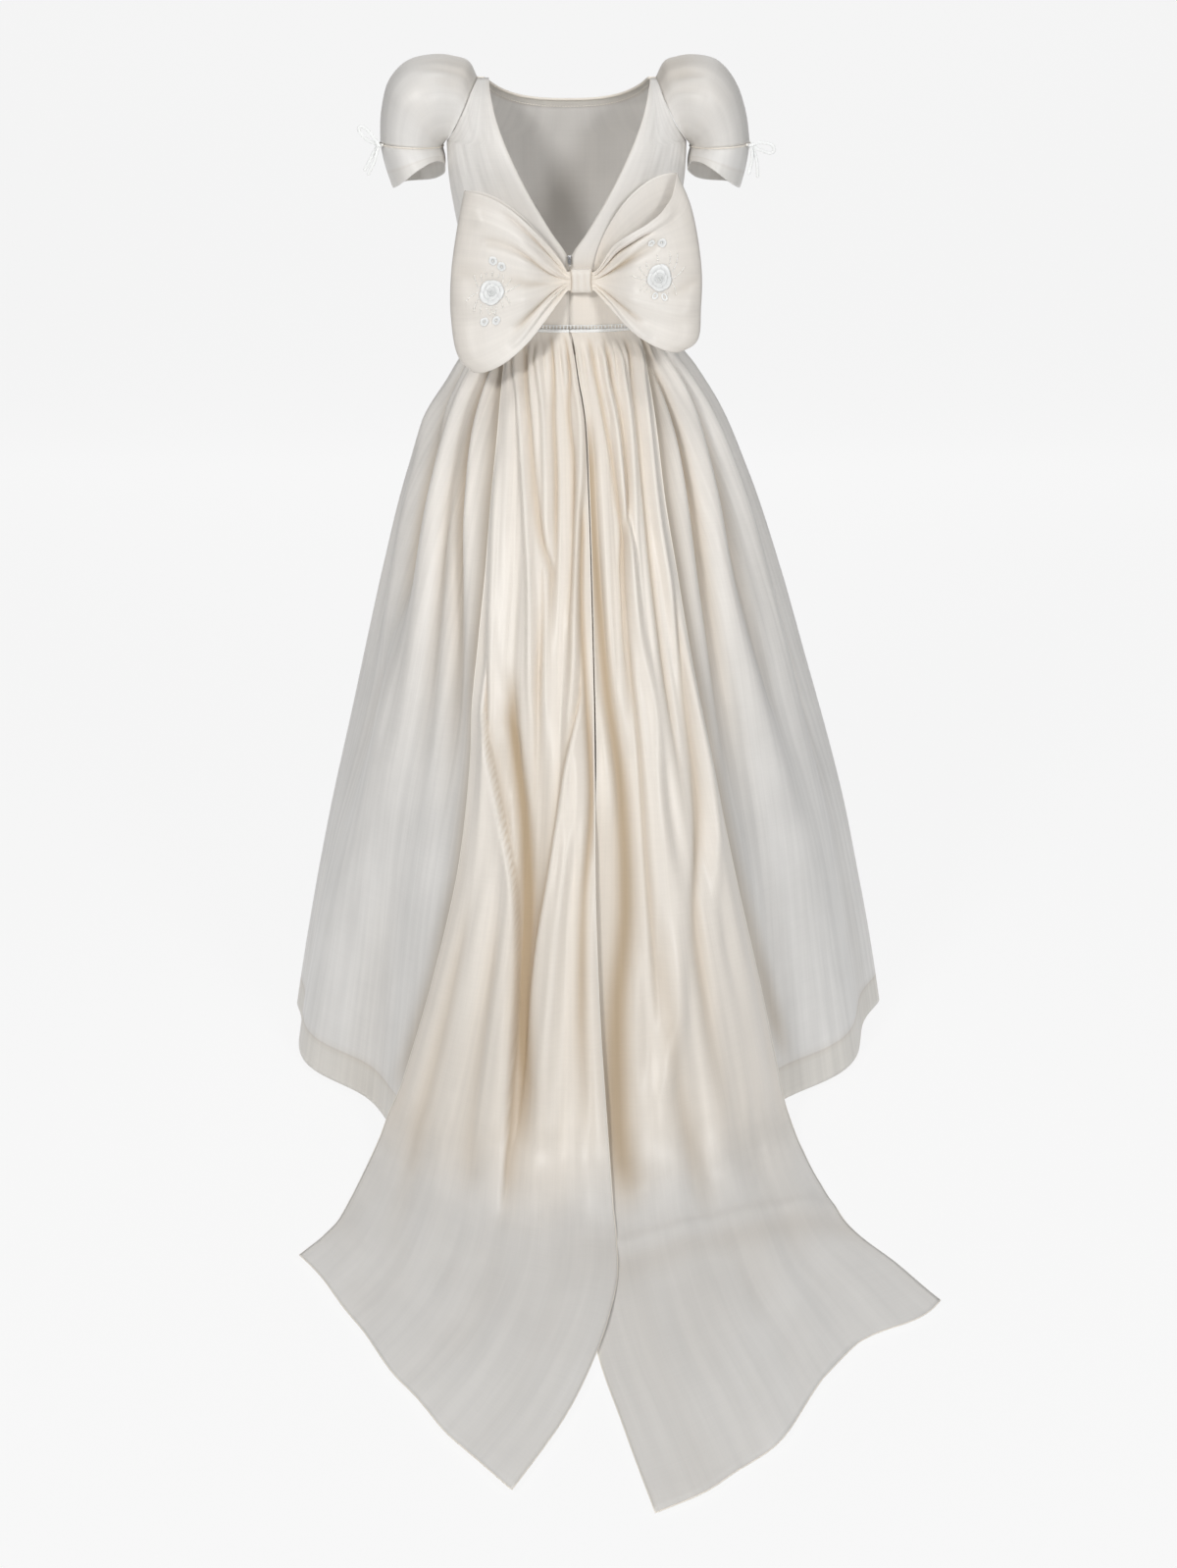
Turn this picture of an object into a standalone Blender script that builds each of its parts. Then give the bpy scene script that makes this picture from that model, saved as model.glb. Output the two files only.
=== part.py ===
"""Short-sleeved wedding dress with a low V back, a large bow and two long bow tails.

The dress keeps the hollow form that it has when it is worn. The wearer faces +Y, so the
back with the bow faces -Y, and +X is on the right of someone who looks at the back.
The origin is between the shoulders, where the dress is held up. Heights in the tables
are above the floor that the tails lie on, and become Z when the mesh is made.
"""
import math

import bpy
import numpy as np

# Sizes of the cloth, in metres
WALL = 0.0015            # silk and its organza backing as one wall
TAIL_WALL = 0.0012       # a tail is two thin layers
BOW_WALL = 0.0012
SEAM_GAP = 0.0003        # between two pieces that are sewn together
REST_GAP = 0.0006        # between a piece and what it rests on, over the facets

# Main heights above the floor
SHOULDER_HEIGHT = 1.340
ARMPIT_HEIGHT = 1.262
V_APEX_HEIGHT = 1.112
BODICE_HEM = 1.0276
PIPING_HEIGHT = 1.0255
SKIRT_TOP = 1.0226
SKIRT_HEM = 0.006
FRONT_NECK_HEIGHT = 1.308
TAIL_BED = 0.0016        # lowest height of a tail's cloth over the floor

PIPING_RADIUS = 0.0020
TIE_RADIUS = 0.0016
TIE_SEAM = 0.0007        # a sleeve and its cuff each stop this far from the tie's middle
CENTRE_BACK_X = 0.004
SIDE_SQUARENESS = 0.8    # power on sine and cosine of a bodice section, 1 is an ellipse
ARMHOLE_DEPTH = 45.0     # how far round from the side the armhole cuts in, in degrees
ARMHOLE_CURVE = 0.37

# Bodice sections: height, half width, back depth, front depth
BODICE = np.array([
    (1.0276, 0.125, 0.0980, 0.095),
    (1.0600, 0.128, 0.0985, 0.102),
    (1.1000, 0.135, 0.1000, 0.113),
    (1.1630, 0.148, 0.1080, 0.126),
    (1.2140, 0.156, 0.1100, 0.120),
    (1.2620, 0.158, 0.1050, 0.106),
    (1.2900, 0.157, 0.0940, 0.092),
    (1.3100, 0.156, 0.0780, 0.080),
    (1.3250, 0.156, 0.0560, 0.058),
    (1.3350, 0.155, 0.0280, 0.030),
    (1.3400, 0.155, 0.0000, 0.000),
])

# Edge of the V on the back: height, distance from the centre back
V_EDGE = np.array([
    (1.112, 0.0004),
    (1.122, 0.0032),
    (1.150, 0.0220),
    (1.185, 0.0440),
    (1.241, 0.0740),
    (1.296, 0.0970),
    (1.340, 0.1080),
])

# Skirt sections: height, half width, back depth, front depth, centre x, gathers, folds, waves
# The last three are the full heights of the relief, from trough to crest
SKIRT = np.array([
    (0.006, 0.418, 0.575, 0.395, 0.025, 0.0000, 0.0060, 0.022),
    (0.130, 0.398, 0.512, 0.370, 0.025, 0.0000, 0.0080, 0.018),
    (0.300, 0.366, 0.442, 0.335, 0.025, 0.0000, 0.0110, 0.013),
    (0.500, 0.314, 0.364, 0.288, 0.022, 0.0000, 0.0140, 0.008),
    (0.680, 0.267, 0.286, 0.244, 0.018, 0.0000, 0.0140, 0.003),
    (0.820, 0.224, 0.222, 0.196, 0.013, 0.0006, 0.0110, 0.000),
    (0.915, 0.184, 0.170, 0.150, 0.010, 0.0034, 0.0060, 0.000),
    (0.968, 0.152, 0.134, 0.120, 0.008, 0.0046, 0.0020, 0.000),
    (1.003, 0.132, 0.107, 0.102, 0.006, 0.0046, 0.0000, 0.000),
    (1.0226, 0.1257, 0.0987, 0.0957, 0.004, 0.0014, 0.0000, 0.000),
])
SKIRT_RINGS = (0.006, 0.130, 0.300, 0.500, 0.680, 0.820, 0.915, 0.968, 1.003, 1.0226)
GATHERS_ROUND = 36
FOLDS_ROUND = 20
WAVES_ROUND = 12
COLUMNS_PER_GATHER = 4
HEM_POINTEDNESS = 0.35   # how much the back of the hem draws out to a point
GATHER_DRIFT = 0.045     # how far a gather may stray from an even spacing

# How the hem swings out or in from its even section: angle from the back in degrees, lift
HEM_SWINGS = np.array([
    (-180.0, 0.000),
    (-150.0, 0.006),
    (-120.0, -0.004),
    (-96.0, -0.004),
    (-72.0, 0.027),
    (-45.0, -0.004),
    (-15.0, 0.006),
    (8.0, 0.010),
    (26.0, 0.000),
    (44.0, -0.026),
    (66.0, 0.009),
    (94.0, 0.012),
    (125.0, -0.004),
    (150.0, 0.006),
    (180.0, 0.000),
])
SWING_START = 0.62       # height below which the swings grow

# Tails: height, inner x, outer x, then how far each edge lies behind the skirt,
# the height of the pleats, and how far the inner edge stands off
LEFT_TAIL = np.array([
    (1.0222, 0.0030, -0.078, 0.000, 0.000, 0.0000, 0.0000),
    (1.0030, 0.0080, -0.080, 0.000, 0.000, 0.0060, 0.0000),
    (0.9680, 0.0140, -0.083, 0.000, 0.000, 0.0080, 0.0000),
    (0.9150, 0.0230, -0.088, 0.000, 0.000, 0.0090, 0.0000),
    (0.8200, 0.0280, -0.096, 0.000, 0.000, 0.0120, 0.0000),
    (0.7300, 0.0310, -0.103, 0.000, 0.000, 0.0140, 0.0000),
    (0.6160, 0.0340, -0.114, 0.000, 0.000, 0.0150, 0.0010),
    (0.5000, 0.0360, -0.119, 0.000, 0.000, 0.0160, 0.0040),
    (0.3600, 0.0370, -0.138, 0.000, 0.000, 0.0160, 0.0080),
    (0.2200, 0.0420, -0.172, 0.002, 0.002, 0.0150, 0.0090),
    (0.1000, 0.0500, -0.210, 0.006, 0.006, 0.0120, 0.0090),
    (0.0400, 0.0550, -0.236, 0.022, 0.014, 0.0090, 0.0080),
    (0.0150, 0.0580, -0.248, 0.052, 0.040, 0.0070, 0.0060),
    (0.0050, 0.0610, -0.258, 0.100, 0.090, 0.0060, 0.0050),
    (0.0020, 0.0600, -0.272, 0.200, 0.200, 0.0080, 0.0045),
    (0.0020, 0.0400, -0.284, 0.330, 0.285, 0.0100, 0.0045),
    (0.0020, 0.0060, -0.300, 0.460, 0.355, 0.0080, 0.0045),
    (0.0020, -0.0470, -0.318, 0.602, 0.420, 0.0050, 0.0010),
])
RIGHT_TAIL = np.array([
    (1.0222, 0.0060, 0.092, 0.000, 0.000, 0.0000, 0.0000),
    (1.0030, 0.0110, 0.100, 0.000, 0.000, 0.0060, 0.0000),
    (0.9680, 0.0170, 0.106, 0.000, 0.000, 0.0080, 0.0000),
    (0.9150, 0.0260, 0.115, 0.000, 0.000, 0.0090, 0.0000),
    (0.8200, 0.0310, 0.127, 0.000, 0.000, 0.0120, 0.0000),
    (0.7300, 0.0340, 0.142, 0.000, 0.000, 0.0140, 0.0000),
    (0.6160, 0.0370, 0.162, 0.000, 0.000, 0.0150, 0.0000),
    (0.5000, 0.0390, 0.186, 0.000, 0.000, 0.0160, 0.0000),
    (0.3600, 0.0330, 0.218, 0.000, 0.000, 0.0160, 0.0000),
    (0.2200, 0.0260, 0.255, 0.002, 0.002, 0.0150, 0.0000),
    (0.1000, 0.0220, 0.288, 0.006, 0.006, 0.0120, 0.0000),
    (0.0400, 0.0210, 0.307, 0.022, 0.014, 0.0090, 0.0000),
    (0.0150, 0.0210, 0.318, 0.052, 0.040, 0.0070, 0.0000),
    (0.0050, 0.0210, 0.329, 0.100, 0.110, 0.0060, 0.0000),
    (0.0020, 0.0260, 0.344, 0.210, 0.225, 0.0080, 0.0000),
    (0.0020, 0.0400, 0.364, 0.345, 0.360, 0.0100, 0.0000),
    (0.0020, 0.0660, 0.400, 0.485, 0.512, 0.0080, 0.0000),
    (0.0020, 0.0940, 0.431, 0.634, 0.664, 0.0050, 0.0000),
])
TAIL_COLUMNS = 17
TAIL_PLEATS = 4
TAIL_END_STRAIGHTNESS = 0.4   # 0 follows the hem's curve, 1 is a straight cut
TAIL_CLEARANCE = 0.0030  # between a hanging tail and the crests of the skirt

# Ridge line of a sleeve: share of the way from armhole to tie, x, height
SLEEVE_RIDGE = np.array([
    (0.00, 0.1178, 1.3415),
    (0.08, 0.1270, 1.3600),
    (0.20, 0.1500, 1.3685),
    (0.36, 0.1800, 1.3700),
    (0.54, 0.2120, 1.3610),
    (0.70, 0.2340, 1.3380),
    (0.84, 0.2430, 1.3110),
    (0.93, 0.2470, 1.2850),
    (1.00, 0.2480, 1.2560),
])
SLEEVE_COLUMNS = 26
SLEEVE_GATHERS = 9
SLEEVE_GATHER_DEPTH = 0.0035
SLEEVE_BELLY = 0.020     # how far the back and the front of a sleeve stand out
BELLY_POWER = 1.4        # above 1, the sleeve leaves its seams more gently
SLEEVE_PUFF = {-1: 1.0, 1: 0.62}   # how full the outer side of each sleeve is
TIE_RING_X = {-1: 0.2065, 1: 0.2040}
TIE_RING_HALF_X = {-1: 0.0415, 1: 0.0395}
TIE_RING = dict(half_y=0.066, height=1.256, lean=0.002)
# The cuff's hem is lowest at its outer corner, rises to the inner side, and more at the back
CUFF_HEM = dict(x=0.19675, half_x=0.03525, half_y=0.078, height=1.201, rise=0.027, wedge=0.023)

# Outer fold of each bow loop, from the top edge down: share, x, height
LEFT_LOOP_FOLD = np.array([
    (0.00, -0.130, 1.208),
    (0.20, -0.139, 1.166),
    (0.45, -0.149, 1.100),
    (0.65, -0.150, 1.050),
    (0.88, -0.138, 0.995),
    (1.00, -0.121, 0.980),
])
RIGHT_LOOP_FOLD = np.array([
    (0.00, 0.142, 1.230),
    (0.20, 0.161, 1.186),
    (0.45, 0.175, 1.110),
    (0.65, 0.175, 1.060),
    (0.88, 0.168, 1.016),
    (1.00, 0.149, 1.006),
])
# How far the top edge of the right loop's front layer has opened, by share of the way out
RIGHT_FRONT_OPENING = np.array([
    (0.00, 0.00),
    (0.08, 0.00),
    (0.30, 0.29),
    (0.50, 0.42),
    (0.70, 0.53),
    (0.88, 0.69),
    (0.96, 0.83),
    (1.00, 1.00),
])
KNOT = dict(x=0.0195, half_x=0.0150, height=1.0915, half_height=0.0160, half_depth=0.0085)
KNOT_BACK_GAP = 0.0004
LOOP_END = dict(half_height=0.0122, reach=0.0075, half_depth=0.0040)
LOOP_DEPTH = 0.0160      # half of the space between the two layers of a loop
LOOP_LEAN = 0.022        # how far the outer fold stands further back than the knot
LOOP_DROP_LEAN = 0.022   # and how much more its lower part does, over the skirt
LOOP_TOP_SLACK = {-1: 0.15, 1: 0.40}   # how much sooner than a sine each top edge opens
LOOP_CREASE = 0.0045
LOOP_CREASES = 3
LOOP_STATIONS = (0.0, 0.08, 0.15, 0.26, 0.40, 0.56, 0.72, 0.85, 0.94, 0.985)
LOOP_COLUMNS = 12

# Flowers: name, side, share of the way out, share of the way down, radius, height
FLOWERS = (
    ("rose_left", -1, 0.718, 0.530, 0.0175, 0.0060),
    ("rose_right", 1, 0.640, 0.455, 0.0170, 0.0060),
    ("rosette_left_1", -1, 0.712, 0.350, 0.0052, 0.0026),
    ("rosette_left_2", -1, 0.640, 0.372, 0.0052, 0.0026),
    ("rosette_left_3", -1, 0.775, 0.690, 0.0052, 0.0026),
    ("rosette_left_4", -1, 0.680, 0.700, 0.0052, 0.0026),
    ("rosette_right_1", 1, 0.600, 0.262, 0.0052, 0.0026),
    ("rosette_right_2", 1, 0.690, 0.290, 0.0052, 0.0026),
)
PETAL_WALL = 0.0008
FLOWER_GAP = 0.0008      # between a flower's rim and the loop, over the facets
ROSE_RIDGE = 0.0010

# Concealed zip: the slider's box and the pull that hangs on it
SLIDER = dict(width=0.0048, depth=0.0032, height=0.0100, centre_height=1.1180)
PULL = dict(width=0.0040, thickness=0.0010, length=0.0120)
PULL_GAP = 0.0005

IVORY = (0.86, 0.83, 0.78)
IVORY_SHEER = (0.80, 0.79, 0.76)
IVORY_TAIL = (0.88, 0.85, 0.79)
RIBBON_WHITE = (0.90, 0.90, 0.89)
CORD_CREAM = (0.88, 0.82, 0.73)
NICKEL = (0.75, 0.75, 0.76)


def clear_scene():
    """Remove every object that is in the file."""
    for old in list(bpy.data.objects):
        bpy.data.objects.remove(old, do_unlink=True)


def material(name, colour, roughness=0.5, metallic=0.0):
    """A plain Principled material."""
    made = bpy.data.materials.new(name)
    made.use_nodes = True
    shader = made.node_tree.nodes["Principled BSDF"]
    shader.inputs["Base Color"].default_value = (*colour, 1.0)
    shader.inputs["Roughness"].default_value = roughness
    shader.inputs["Metallic"].default_value = metallic
    return made


def smoothstep(value):
    """An S-shaped ramp from 0 to 1, as the value goes from 0 to 1."""
    t = np.clip(value, 0.0, 1.0)
    return t * t * (3.0 - 2.0 * t)


def through(table, column, at):
    """A cubic curve through one column of a table, whose first column rises."""
    xs, ys = table[:, 0], table[:, column]
    slopes = np.gradient(ys, xs)
    at = np.clip(np.asarray(at, dtype=float), xs[0], xs[-1])
    i = np.clip(np.searchsorted(xs, at, side="right") - 1, 0, len(xs) - 2)
    step = xs[i + 1] - xs[i]
    t = (at - xs[i]) / step
    start = ys[i] * (1 + 2 * t) * (1 - t) ** 2 + slopes[i] * step * t * (1 - t) ** 2
    end = ys[i + 1] * t * t * (3 - 2 * t) + slopes[i + 1] * step * t * t * (t - 1)
    return start + end


def cloth(name, points, look, inside, wall=WALL, closed=False, outward=1.0):
    """An open sheet on a grid of points, with a wall put on by Solidify.

    The faces point away from the place called inside. With outward 1 the wall grows that
    way from the points, and with -1 the points are the outer side.
    """
    points = np.asarray(points, dtype=float).copy()
    points[..., 2] -= SHOULDER_HEIGHT
    rows, columns = points.shape[:2]
    last = columns if closed else columns - 1
    faces = [(r * columns + c, r * columns + (c + 1) % columns,
              (r + 1) * columns + (c + 1) % columns, (r + 1) * columns + c)
             for r in range(rows - 1) for c in range(last)]
    middle = np.asarray(inside, dtype=float) - (0.0, 0.0, SHOULDER_HEIGHT)
    flat = points.reshape(-1, 3)
    corners = flat[np.array(faces)]
    normals = np.cross(corners[:, 2] - corners[:, 0], corners[:, 3] - corners[:, 1])
    if np.sum(normals * (corners.mean(axis=1) - middle)) < 0:
        faces = [face[::-1] for face in faces]
    mesh = bpy.data.meshes.new(name)
    mesh.from_pydata(flat.tolist(), [], faces)
    mesh.shade_smooth()
    return walled(name, mesh, look, wall, outward)


def walled(name, mesh, look, wall, outward):
    """An object for a sheet, with its material and its wall."""
    mesh.materials.append(look)
    made = bpy.data.objects.new(name, mesh)
    PARTS.objects.link(made)
    thick = made.modifiers.new("Wall", 'SOLIDIFY')
    thick.thickness = wall
    thick.offset = outward
    return made


def tube(name, points, radius, look, cyclic=False, resolution=2):
    """A cord as a curve with a round bevel and filled ends."""
    curve = bpy.data.curves.new(name, 'CURVE')
    curve.dimensions = '3D'
    curve.bevel_depth = radius
    curve.bevel_resolution = resolution
    curve.use_fill_caps = not cyclic
    spline = curve.splines.new('POLY')
    spline.points.add(len(points) - 1)
    for point, place in zip(spline.points, points):
        point.co = (place[0], place[1], place[2] - SHOULDER_HEIGHT, 1.0)
    spline.use_cyclic_u = cyclic
    curve.materials.append(look)
    made = bpy.data.objects.new(name, curve)
    PARTS.objects.link(made)
    return made


def as_mesh(curve_object):
    """Turn a curve object into a mesh object of the same name, with its ends welded."""
    name = curve_object.name
    bpy.context.view_layer.update()
    evaluated = curve_object.evaluated_get(bpy.context.evaluated_depsgraph_get())
    mesh = bpy.data.meshes.new_from_object(evaluated)
    made = bpy.data.objects.new(name + "_mesh", mesh)
    made.matrix_world = curve_object.matrix_world
    bpy.data.objects.remove(curve_object, do_unlink=True)
    made.name = name
    PARTS.objects.link(made)
    weld = made.modifiers.new("Weld", 'WELD')
    weld.merge_threshold = 0.00001
    return made


def bodice_point(angle, height, front):
    """A place on the bodice, from the angle off the centre of the back or of the front.

    x is the half width times sine to a power, y the depth times cosine to that power.
    """
    width = through(BODICE, 1, height)
    depth = through(BODICE, 3 if front else 2, height)
    sine, cosine = np.sin(angle), np.cos(angle)
    x = width * np.sign(sine) * np.abs(sine) ** SIDE_SQUARENESS
    y = depth * np.abs(cosine) ** SIDE_SQUARENESS + SEAM_GAP / 2
    return np.stack([x, y if front else -y, height + 0.0 * angle], axis=-1)


def armhole_angle(height):
    """Angle of the bodice's side edge: the side seam, then the armhole above the armpit."""
    rise = np.clip((height - ARMPIT_HEIGHT) / (SHOULDER_HEIGHT - ARMPIT_HEIGHT), 0.0, 1.0)
    return np.radians(90.0 - ARMHOLE_DEPTH * rise ** ARMHOLE_CURVE)


def bodice_angle(distance, height):
    """Angle at which the bodice lies a distance to the side of its centre."""
    share = np.clip(distance / through(BODICE, 1, height), 0.0, 1.0)
    return np.arcsin(share ** (1.0 / SIDE_SQUARENESS))


def build_bodice():
    """The front in one piece, and the back in two that meet at the zip below the V."""
    silk = material("ivory_silk_bodice", IVORY, 0.45)
    heights = np.array([BODICE_HEM, 1.068, V_APEX_HEIGHT, 1.122, 1.150, 1.185, 1.222,
                        ARMPIT_HEIGHT, 1.272, 1.290, 1.308, 1.324, 1.335, 1.340])
    across = np.linspace(0.0, 1.0, 8)
    height, share = np.meshgrid(heights, across, indexing="ij")
    for side, word in ((-1, "left"), (1, "right")):
        shift = CENTRE_BACK_X * side * np.clip(1.0 - share * 2.0, 0.0, 1.0)
        inner = np.where(height < V_APEX_HEIGHT, SEAM_GAP / 2, through(V_EDGE, 1, height))
        inner = bodice_angle(inner, height)
        angle = inner + (armhole_angle(height) - inner) * share
        points = bodice_point(angle, height, front=False)
        points[..., 0] = side * (points[..., 0] + shift)
        cloth("bodice_back_" + word, points, silk, (0, 0, 1.15))

    across = np.linspace(-1.0, 1.0, 15)
    rows = (np.array(heights) - BODICE_HEM) / (SHOULDER_HEIGHT - BODICE_HEM)
    row, share = np.meshgrid(rows, across, indexing="ij")
    strap = bodice_angle(np.array(V_EDGE[-1, 1]), np.array(SHOULDER_HEIGHT))
    strap_share = strap / armhole_angle(SHOULDER_HEIGHT)
    rise = np.clip(np.abs(share) / strap_share, 0.0, 1.0) ** 2
    top = FRONT_NECK_HEIGHT + (SHOULDER_HEIGHT - FRONT_NECK_HEIGHT) * rise
    height = BODICE_HEM + (top - BODICE_HEM) * row
    points = bodice_point(armhole_angle(height) * share, height, front=True)
    cloth("bodice_front", points, silk, (0, 0, 1.15))


def armhole_ring(side, angles):
    """Where a sleeve starts: the armhole's edge, just past the seam, on the outer side.

    The ring angle is 0 at the shoulder, a quarter turn at the back, half at the armpit.
    """
    back = np.sin(angles) >= 0
    share = (1.0 + np.cos(angles)) / 2.0
    height = ARMPIT_HEIGHT + (SHOULDER_HEIGHT - ARMPIT_HEIGHT) * share
    step = 1e-4
    ring = np.empty((len(angles), 3))
    for is_front, which in ((False, back), (True, ~back)):
        edge = armhole_angle(height[which])
        here = bodice_point(edge, height[which], is_front)
        over = bodice_point(edge - step, height[which], is_front) - here
        up = bodice_point(edge, np.minimum(height[which], SHOULDER_HEIGHT - step) - step,
                          is_front) - bodice_point(
            edge, np.minimum(height[which], SHOULDER_HEIGHT - step), is_front)
        normal = np.cross(over, up)
        normal /= np.linalg.norm(normal, axis=1)[:, None]
        normal *= np.sign(np.sum(normal * (here - (0.0, 0.0, 1.25)), axis=1))[:, None]
        ring[which] = here + normal * (WALL + SEAM_GAP)
    ring[:, 0] += SEAM_GAP
    ring[:, 0] *= side
    return ring


def tie_ring(side, angles, drop=0.0, spread=0.0):
    """The narrow end of a sleeve, where the tie goes round; angle 0 is the outer side."""
    x = TIE_RING_X[side] + (TIE_RING_HALF_X[side] + spread) * np.cos(angles)
    y = -(TIE_RING["half_y"] + spread) * np.sin(angles)
    z = TIE_RING["height"] + TIE_RING["lean"] * np.cos(angles) - drop
    return np.stack([side * x, y, z], axis=-1)


def sleeve_point(side, share, angles):
    """The puffed sleeve, from its armhole ring (share 0) to its tie ring (share 1).

    It is the straight way between the rings, plus the rise of the ridge line over its own
    straight way, times how near the top the place is, plus a belly at back and front.
    """
    start = armhole_ring(side, angles)
    end = tie_ring(side, angles, drop=-TIE_SEAM)
    share = np.asarray(share)[:, None]
    ridge = np.stack([through(SLEEVE_RIDGE, k, share) for k in (1, 2)], axis=-1)
    line = SLEEVE_RIDGE[0, 1:] * (1 - share[..., None]) + SLEEVE_RIDGE[-1, 1:] * share[..., None]
    rise = ridge - line
    near_top = (1.0 + np.cos(angles)) / 2.0
    points = start * (1 - share[..., None]) + end * share[..., None]
    points[..., 0] += side * rise[..., 0] * near_top * SLEEVE_PUFF[side]
    points[..., 2] += rise[..., 1] * near_top
    swell = np.clip(np.sin(math.pi * share), 0.0, 1.0) ** BELLY_POWER
    belly = SLEEVE_BELLY * swell * np.sin(angles) * near_top ** 0.5
    points[..., 1] -= belly
    fade = np.sin(math.pi * np.clip(share / 0.6, 0.0, 1.0)) * near_top
    ripple = SLEEVE_GATHER_DEPTH * fade * (0.5 - 0.5 * np.cos(SLEEVE_GATHERS * angles))
    points[..., 2] -= ripple * 0.8
    points[..., 1] += ripple * 0.6 * np.sin(angles)
    return points


def cuff_point(side, share, angles):
    """The flared frill under the tie, from the tie ring to its own hem."""
    start = tie_ring(side, angles, drop=TIE_SEAM)
    x = CUFF_HEM["x"] + CUFF_HEM["half_x"] * np.cos(angles)
    y = -CUFF_HEM["half_y"] * np.sin(angles)
    inner = (1.0 - np.cos(angles)) / 2.0
    z = CUFF_HEM["height"] + (CUFF_HEM["rise"] + CUFF_HEM["wedge"] * np.sin(angles)) * inner
    end = np.stack([side * x, y, z], axis=-1)
    share = np.asarray(share)[:, None, None]
    return start * (1 - share) + end * share


def build_sleeves():
    """Puffed cap sleeves, each with a rouleau tie, its small bow and a flared cuff."""
    silk = material("ivory_silk_sleeve", IVORY, 0.45)
    cord = material("rouleau_tie", RIBBON_WHITE, 0.4)
    angles = np.linspace(0.0, 2 * math.pi, SLEEVE_COLUMNS, endpoint=False)
    rows = (0.0, 0.07, 0.18, 0.34, 0.52, 0.70, 0.86, 1.0)
    for side, word in ((-1, "left"), (1, "right")):
        middle = (side * 0.19, 0.0, 1.28)
        cloth("sleeve_" + word, sleeve_point(side, rows, angles), silk, middle,
              closed=True, outward=-1.0)
        cloth("cuff_" + word, cuff_point(side, (0.0, 0.5, 1.0), angles), silk,
              (side * 0.2, 0.0, 1.23), closed=True, outward=-1.0)
        ring = tie_ring(side, angles, spread=TIE_RADIUS + SEAM_GAP)
        tube("tie_band_" + word, ring, TIE_RADIUS, cord, cyclic=True, resolution=1)
        build_tie_bow(side, word, cord)


# Routes of a tie's loop and two ends, from the knot: out to the side, up
TIE_LOOP = {
    -1: ((0.0, 0.0), (0.006, 0.009), (0.014, 0.019), (0.021, 0.024), (0.026, 0.021),
         (0.022, 0.013), (0.012, 0.005), (0.0, 0.0)),
    1: ((0.0, 0.0), (0.009, 0.003), (0.019, 0.003), (0.028, 0.000), (0.031, -0.006),
        (0.026, -0.010), (0.015, -0.007), (0.0, 0.0)),
}
TIE_ENDS = {
    -1: (((0.0, 0.0), (0.003, -0.010), (0.007, -0.022), (0.015, -0.037)),
         ((0.0, 0.0), (0.007, -0.009), (0.013, -0.020), (0.020, -0.032))),
    1: (((0.0, 0.0), (0.002, -0.012), (0.001, -0.024), (-0.002, -0.036)),
        ((0.0, 0.0), (0.006, -0.012), (0.009, -0.025), (0.010, -0.040))),
}
TIE_BOW_RADIUS = 0.0014
TIE_KNOT_RADIUS = 0.0034
TIE_BOW_ANGLE = 0.60     # how far towards the back of the sleeve the knot sits, in radians


def build_tie_bow(side, word, cord):
    """One loop and two free ends joined at a knot, on the outer side of the tie."""
    ring = tie_ring(side, np.array([TIE_BOW_ANGLE]), spread=2 * TIE_RADIUS + 2 * SEAM_GAP)[0]
    knot = ring + TIE_KNOT_RADIUS * np.array([side * math.cos(TIE_BOW_ANGLE),
                                              -math.sin(TIE_BOW_ANGLE), 0.0])
    bpy.ops.mesh.primitive_uv_sphere_add(
        segments=10, ring_count=6, radius=TIE_KNOT_RADIUS,
        location=(knot[0], knot[1], knot[2] - SHOULDER_HEIGHT))
    body = bpy.context.active_object
    body.name = "tie_bow_" + word
    for holder in list(body.users_collection):
        holder.objects.unlink(body)
    PARTS.objects.link(body)
    body.data.materials.append(cord)
    routes = [TIE_LOOP[side]] + list(TIE_ENDS[side])
    for number, route in enumerate(routes):
        deep = (0.0, -0.0020, 0.0024)[number]
        places = [(knot[0] + side * out, knot[1] + deep * min(1.0, out / 0.004), knot[2] + up)
                  for out, up in route]
        if number == 0:
            spread = np.linspace(-0.0016, 0.0016, len(places))
            places = [(x, y + off, z) for (x, y, z), off in zip(places, spread)]
        strand = as_mesh(tube("tie_strand", places, TIE_BOW_RADIUS, cord, resolution=1))
        PARTS.objects.unlink(strand)
        CUTTERS.objects.link(strand)
        strand.hide_render = True
        strand.display_type = 'WIRE'
        join = body.modifiers.new("Strand", 'BOOLEAN')
        join.operation = 'UNION'
        join.solver = 'EXACT'
        join.object = strand


def gather_angle(angle):
    """Angle with a drift that makes the gathers uneven but keeps each seam on a crest."""
    even = np.sin(4 * angle) * 0.6 + np.sin(6 * angle) * 0.4
    return angle + GATHER_DRIFT * (even + 0.7 * np.sin(2 * angle) ** 2)


def skirt_relief(angle, height):
    """How far the folds stand off the mean section: gathers, then folds, then waves."""
    drift = gather_angle(angle)
    total = 0.0
    for column, count in ((5, GATHERS_ROUND), (6, FOLDS_ROUND), (7, WAVES_ROUND)):
        total = total + through(SKIRT, column, height) * 0.5 * np.cos(count * drift)
    return total + hem_swing(angle, height)


def hem_swing(angle, height):
    """The slow swings of the hem, which die out towards the waist."""
    degrees = (np.degrees(angle) + 180.0) % 360.0 - 180.0
    return through(HEM_SWINGS, 1, degrees) * smoothstep((SWING_START - height) / SWING_START)


def skirt_crest(height):
    """The furthest that the folds stand off the mean section at a height."""
    return 0.5 * sum(through(SKIRT, column, height) for column in (5, 6, 7))


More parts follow.
